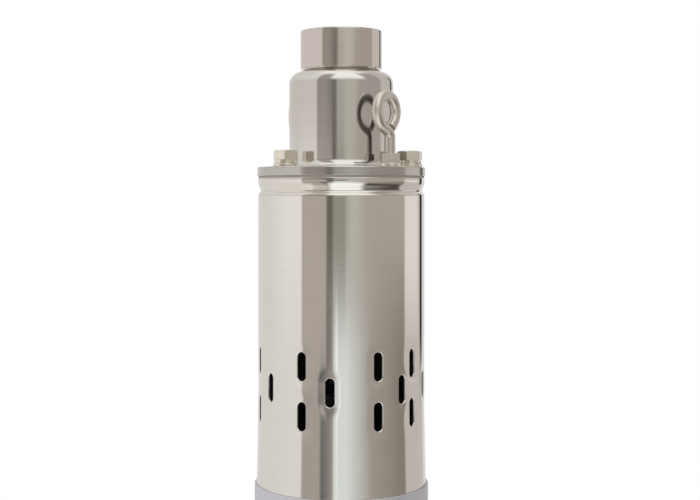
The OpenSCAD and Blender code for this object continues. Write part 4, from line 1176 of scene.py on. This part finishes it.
class PUMP_OT_stage(bpy.types.Operator):
    """Sets up the floor, the studio's light and the camera"""

    bl_idname = "pump.stage"
    bl_label = "Studio"

    def execute(self, context):
        studio = context.scene.pump_studio
        self.floor(studio)
        self.world(context.scene, studio)
        self.lamp(studio)
        self.camera(context.scene, studio)
        context.scene.view_settings.view_transform = "Standard"
        return {"FINISHED"}

    def towards_camera(self, studio, turn=0.0):
        a = math.radians(studio.azimuth + turn)
        return Vector((math.sin(a), -math.cos(a), 0.0))

    def floor(self, studio):
        bm = bmesh.new()
        bmesh.ops.create_circle(bm, cap_ends=True, segments=96, radius=studio.floor_radius)
        bmesh.ops.recalc_face_normals(bm, faces=bm.faces)
        mesh = to_mesh(bm, "floor")
        mesh.materials.append(self.floor_material(studio))
        floor = bpy.data.objects.new("floor", mesh)
        bpy.context.scene.collection.objects.link(floor)

    def floor_material(self, studio):
        """White paper that takes the pump's shadow near it and runs out into the white background."""
        material, nodes = new_material("floor_paper")
        place = nodes.add("ShaderNodeTexCoord", output="Object")
        reach = nodes.add("ShaderNodeVectorMath", {"operation": "LENGTH"}, {0: place}, "Value")
        far = nodes.share(reach, 0.25, 0.75 * studio.floor_radius, {"interpolation_type": "SMOOTHSTEP"})
        paper = nodes.add("ShaderNodeBsdfDiffuse", None, {"Color": (0.9, 0.9, 0.9, 1.0)})
        white = nodes.add("ShaderNodeEmission", None, {"Color": (1.0, 1.0, 1.0, 1.0), "Strength": 1.0})
        studio_below = nodes.add("ShaderNodeBsdfTransparent")
        path = nodes.add("ShaderNodeLightPath", output="Is Camera Ray")
        straight = far * (path + path.out("Is Transmission Ray"))
        surface = nodes.add("ShaderNodeMixShader", None, {0: straight, 1: paper, 2: white})
        mirrored = far * path.out("Is Glossy Ray")
        surface = nodes.add("ShaderNodeMixShader", None, {0: mirrored, 1: surface, 2: studio_below})
        nodes.add("ShaderNodeOutputMaterial", None, {"Surface": surface})
        return material

    def world(self, scene, studio):
        """White all round for the camera, an even fill for the light, and the panels for what the steel mirrors."""
        world = bpy.data.worlds.new("studio")
        world.use_nodes = True
        scene.world = world
        nodes = Nodes(world.node_tree)
        way = nodes.add("ShaderNodeTexCoord", output="Generated")
        ahead, aside = (
            nodes.add("ShaderNodeVectorMath", {"operation": "DOT_PRODUCT"}, {0: way, 1: axis}, "Value")
            for axis in (self.towards_camera(studio), self.towards_camera(studio, 90))
        )
        bearing = nodes.add("ShaderNodeMath", {"operation": "ARCTAN2"}, {0: aside, 1: ahead})
        degrees = bearing * (360 / math.tau)
        height = nodes.add("ShaderNodeSeparateXYZ", None, {0: way}, "Z")
        mirrored = ROOM
        for panel, across, up in PANELS:
            cover = math.prod(self.span(nodes, degrees, across) + self.span(nodes, height, up))
            mirrored = nodes.blend(mirrored, panel, cover)
        path = nodes.add("ShaderNodeLightPath", output="Is Camera Ray")
        plain = nodes.blend((studio.fill,) * 3, (1.0, 1.0, 1.0), path)
        shown = nodes.blend(plain, mirrored, path.out("Is Glossy Ray"))
        light = nodes.add("ShaderNodeBackground", None, {"Color": shown, "Strength": 1.0})
        nodes.add("ShaderNodeOutputWorld", None, {"Surface": light})

    def span(self, nodes, value, reach):
        """How far the panel covers what it lies on, past its beginning and before its end, where it has them."""
        begin, end, soft_begin, soft_end = reach
        edges = []
        if begin is not None:
            edges.append((begin - soft_begin, begin))
        if end is not None:
            edges.append((end + soft_end, end))
        return [nodes.share(value, outside, inside) for outside, inside in edges]

    def lamp(self, studio):
        data = bpy.data.lights.new("key", "AREA")
        data.shape = "DISK"
        data.size = LAMP_WIDTH
        data.energy = studio.key
        lamp = bpy.data.objects.new("key", data)
        place = self.towards_camera(studio, LAMP_TURN) * LAMP_REACH + Vector((0, 0, LAMP_RISE))
        lamp.matrix_world = Matrix.Translation(place) @ self.facing(Vector((0, 0, LAMP_AIM)) - place)
        lamp.visible_glossy = False
        bpy.context.scene.collection.objects.link(lamp)

    def camera(self, scene, studio):
        data = bpy.data.cameras.new("camera")
        data.lens = studio.lens
        data.sensor_width = 36.0
        data.shift_x, data.shift_y = SHIFT
        camera = bpy.data.objects.new("camera", data)
        place = self.towards_camera(studio) * studio.distance + Vector((0, 0, studio.height))
        camera.matrix_world = Matrix.Translation(place) @ self.facing(-self.towards_camera(studio))
        scene.collection.objects.link(camera)
        scene.camera = camera

    def facing(self, way):
        return way.to_track_quat("-Z", "Y").to_matrix().to_4x4()


PIECES = (
    PUMP_OT_inner_works,
    PUMP_OT_outlet_socket,
    PUMP_OT_discharge_head,
    PUMP_OT_pump_tube,
    PUMP_OT_head_bolts,
    PUMP_OT_eye_bolts,
    PUMP_OT_motor_flange,
    PUMP_OT_cable_gland,
    PUMP_OT_motor_tube,
    PUMP_OT_stage,
)


class PUMP_PT_dressing(bpy.types.Panel):
    """Lists the pump's pieces and their settings"""

    bl_idname = "PUMP_PT_dressing"
    bl_label = "Borehole pump"
    bl_space_type = "VIEW_3D"
    bl_region_type = "UI"
    bl_category = "Pump"

    def draw(self, context):
        for operator in PIECES:
            self.layout.operator(operator.bl_idname)
        for name in SETTINGS:
            group = getattr(context.scene, name)
            box = self.layout.box()
            for key in group.__annotations__:
                box.prop(group, key)


SETTINGS = {
    "pump_tube": TubeSettings,
    "pump_head": HeadSettings,
    "pump_fasteners": FastenerSettings,
    "pump_motor": MotorSettings,
    "pump_finish": FinishSettings,
    "pump_studio": StudioSettings,
}


def register():
    for cls in (*SETTINGS.values(), *PIECES, PUMP_PT_dressing):
        bpy.utils.register_class(cls)
    for name, cls in SETTINGS.items():
        setattr(bpy.types.Scene, name, PointerProperty(type=cls))


def unregister():
    for name in SETTINGS:
        delattr(bpy.types.Scene, name)
    for cls in reversed((*SETTINGS.values(), *PIECES, PUMP_PT_dressing)):
        bpy.utils.unregister_class(cls)


def main():
    register()
    bpy.ops.pump.inner_works()
    bpy.ops.pump.outlet_socket()
    bpy.ops.pump.discharge_head()
    bpy.ops.pump.pump_tube()
    bpy.ops.pump.head_bolts()
    bpy.ops.pump.eye_bolts()
    bpy.ops.pump.motor_flange()
    bpy.ops.pump.cable_gland()
    bpy.ops.pump.motor_tube()
    bpy.ops.pump.stage()


if __name__ == "__main__":
    main()
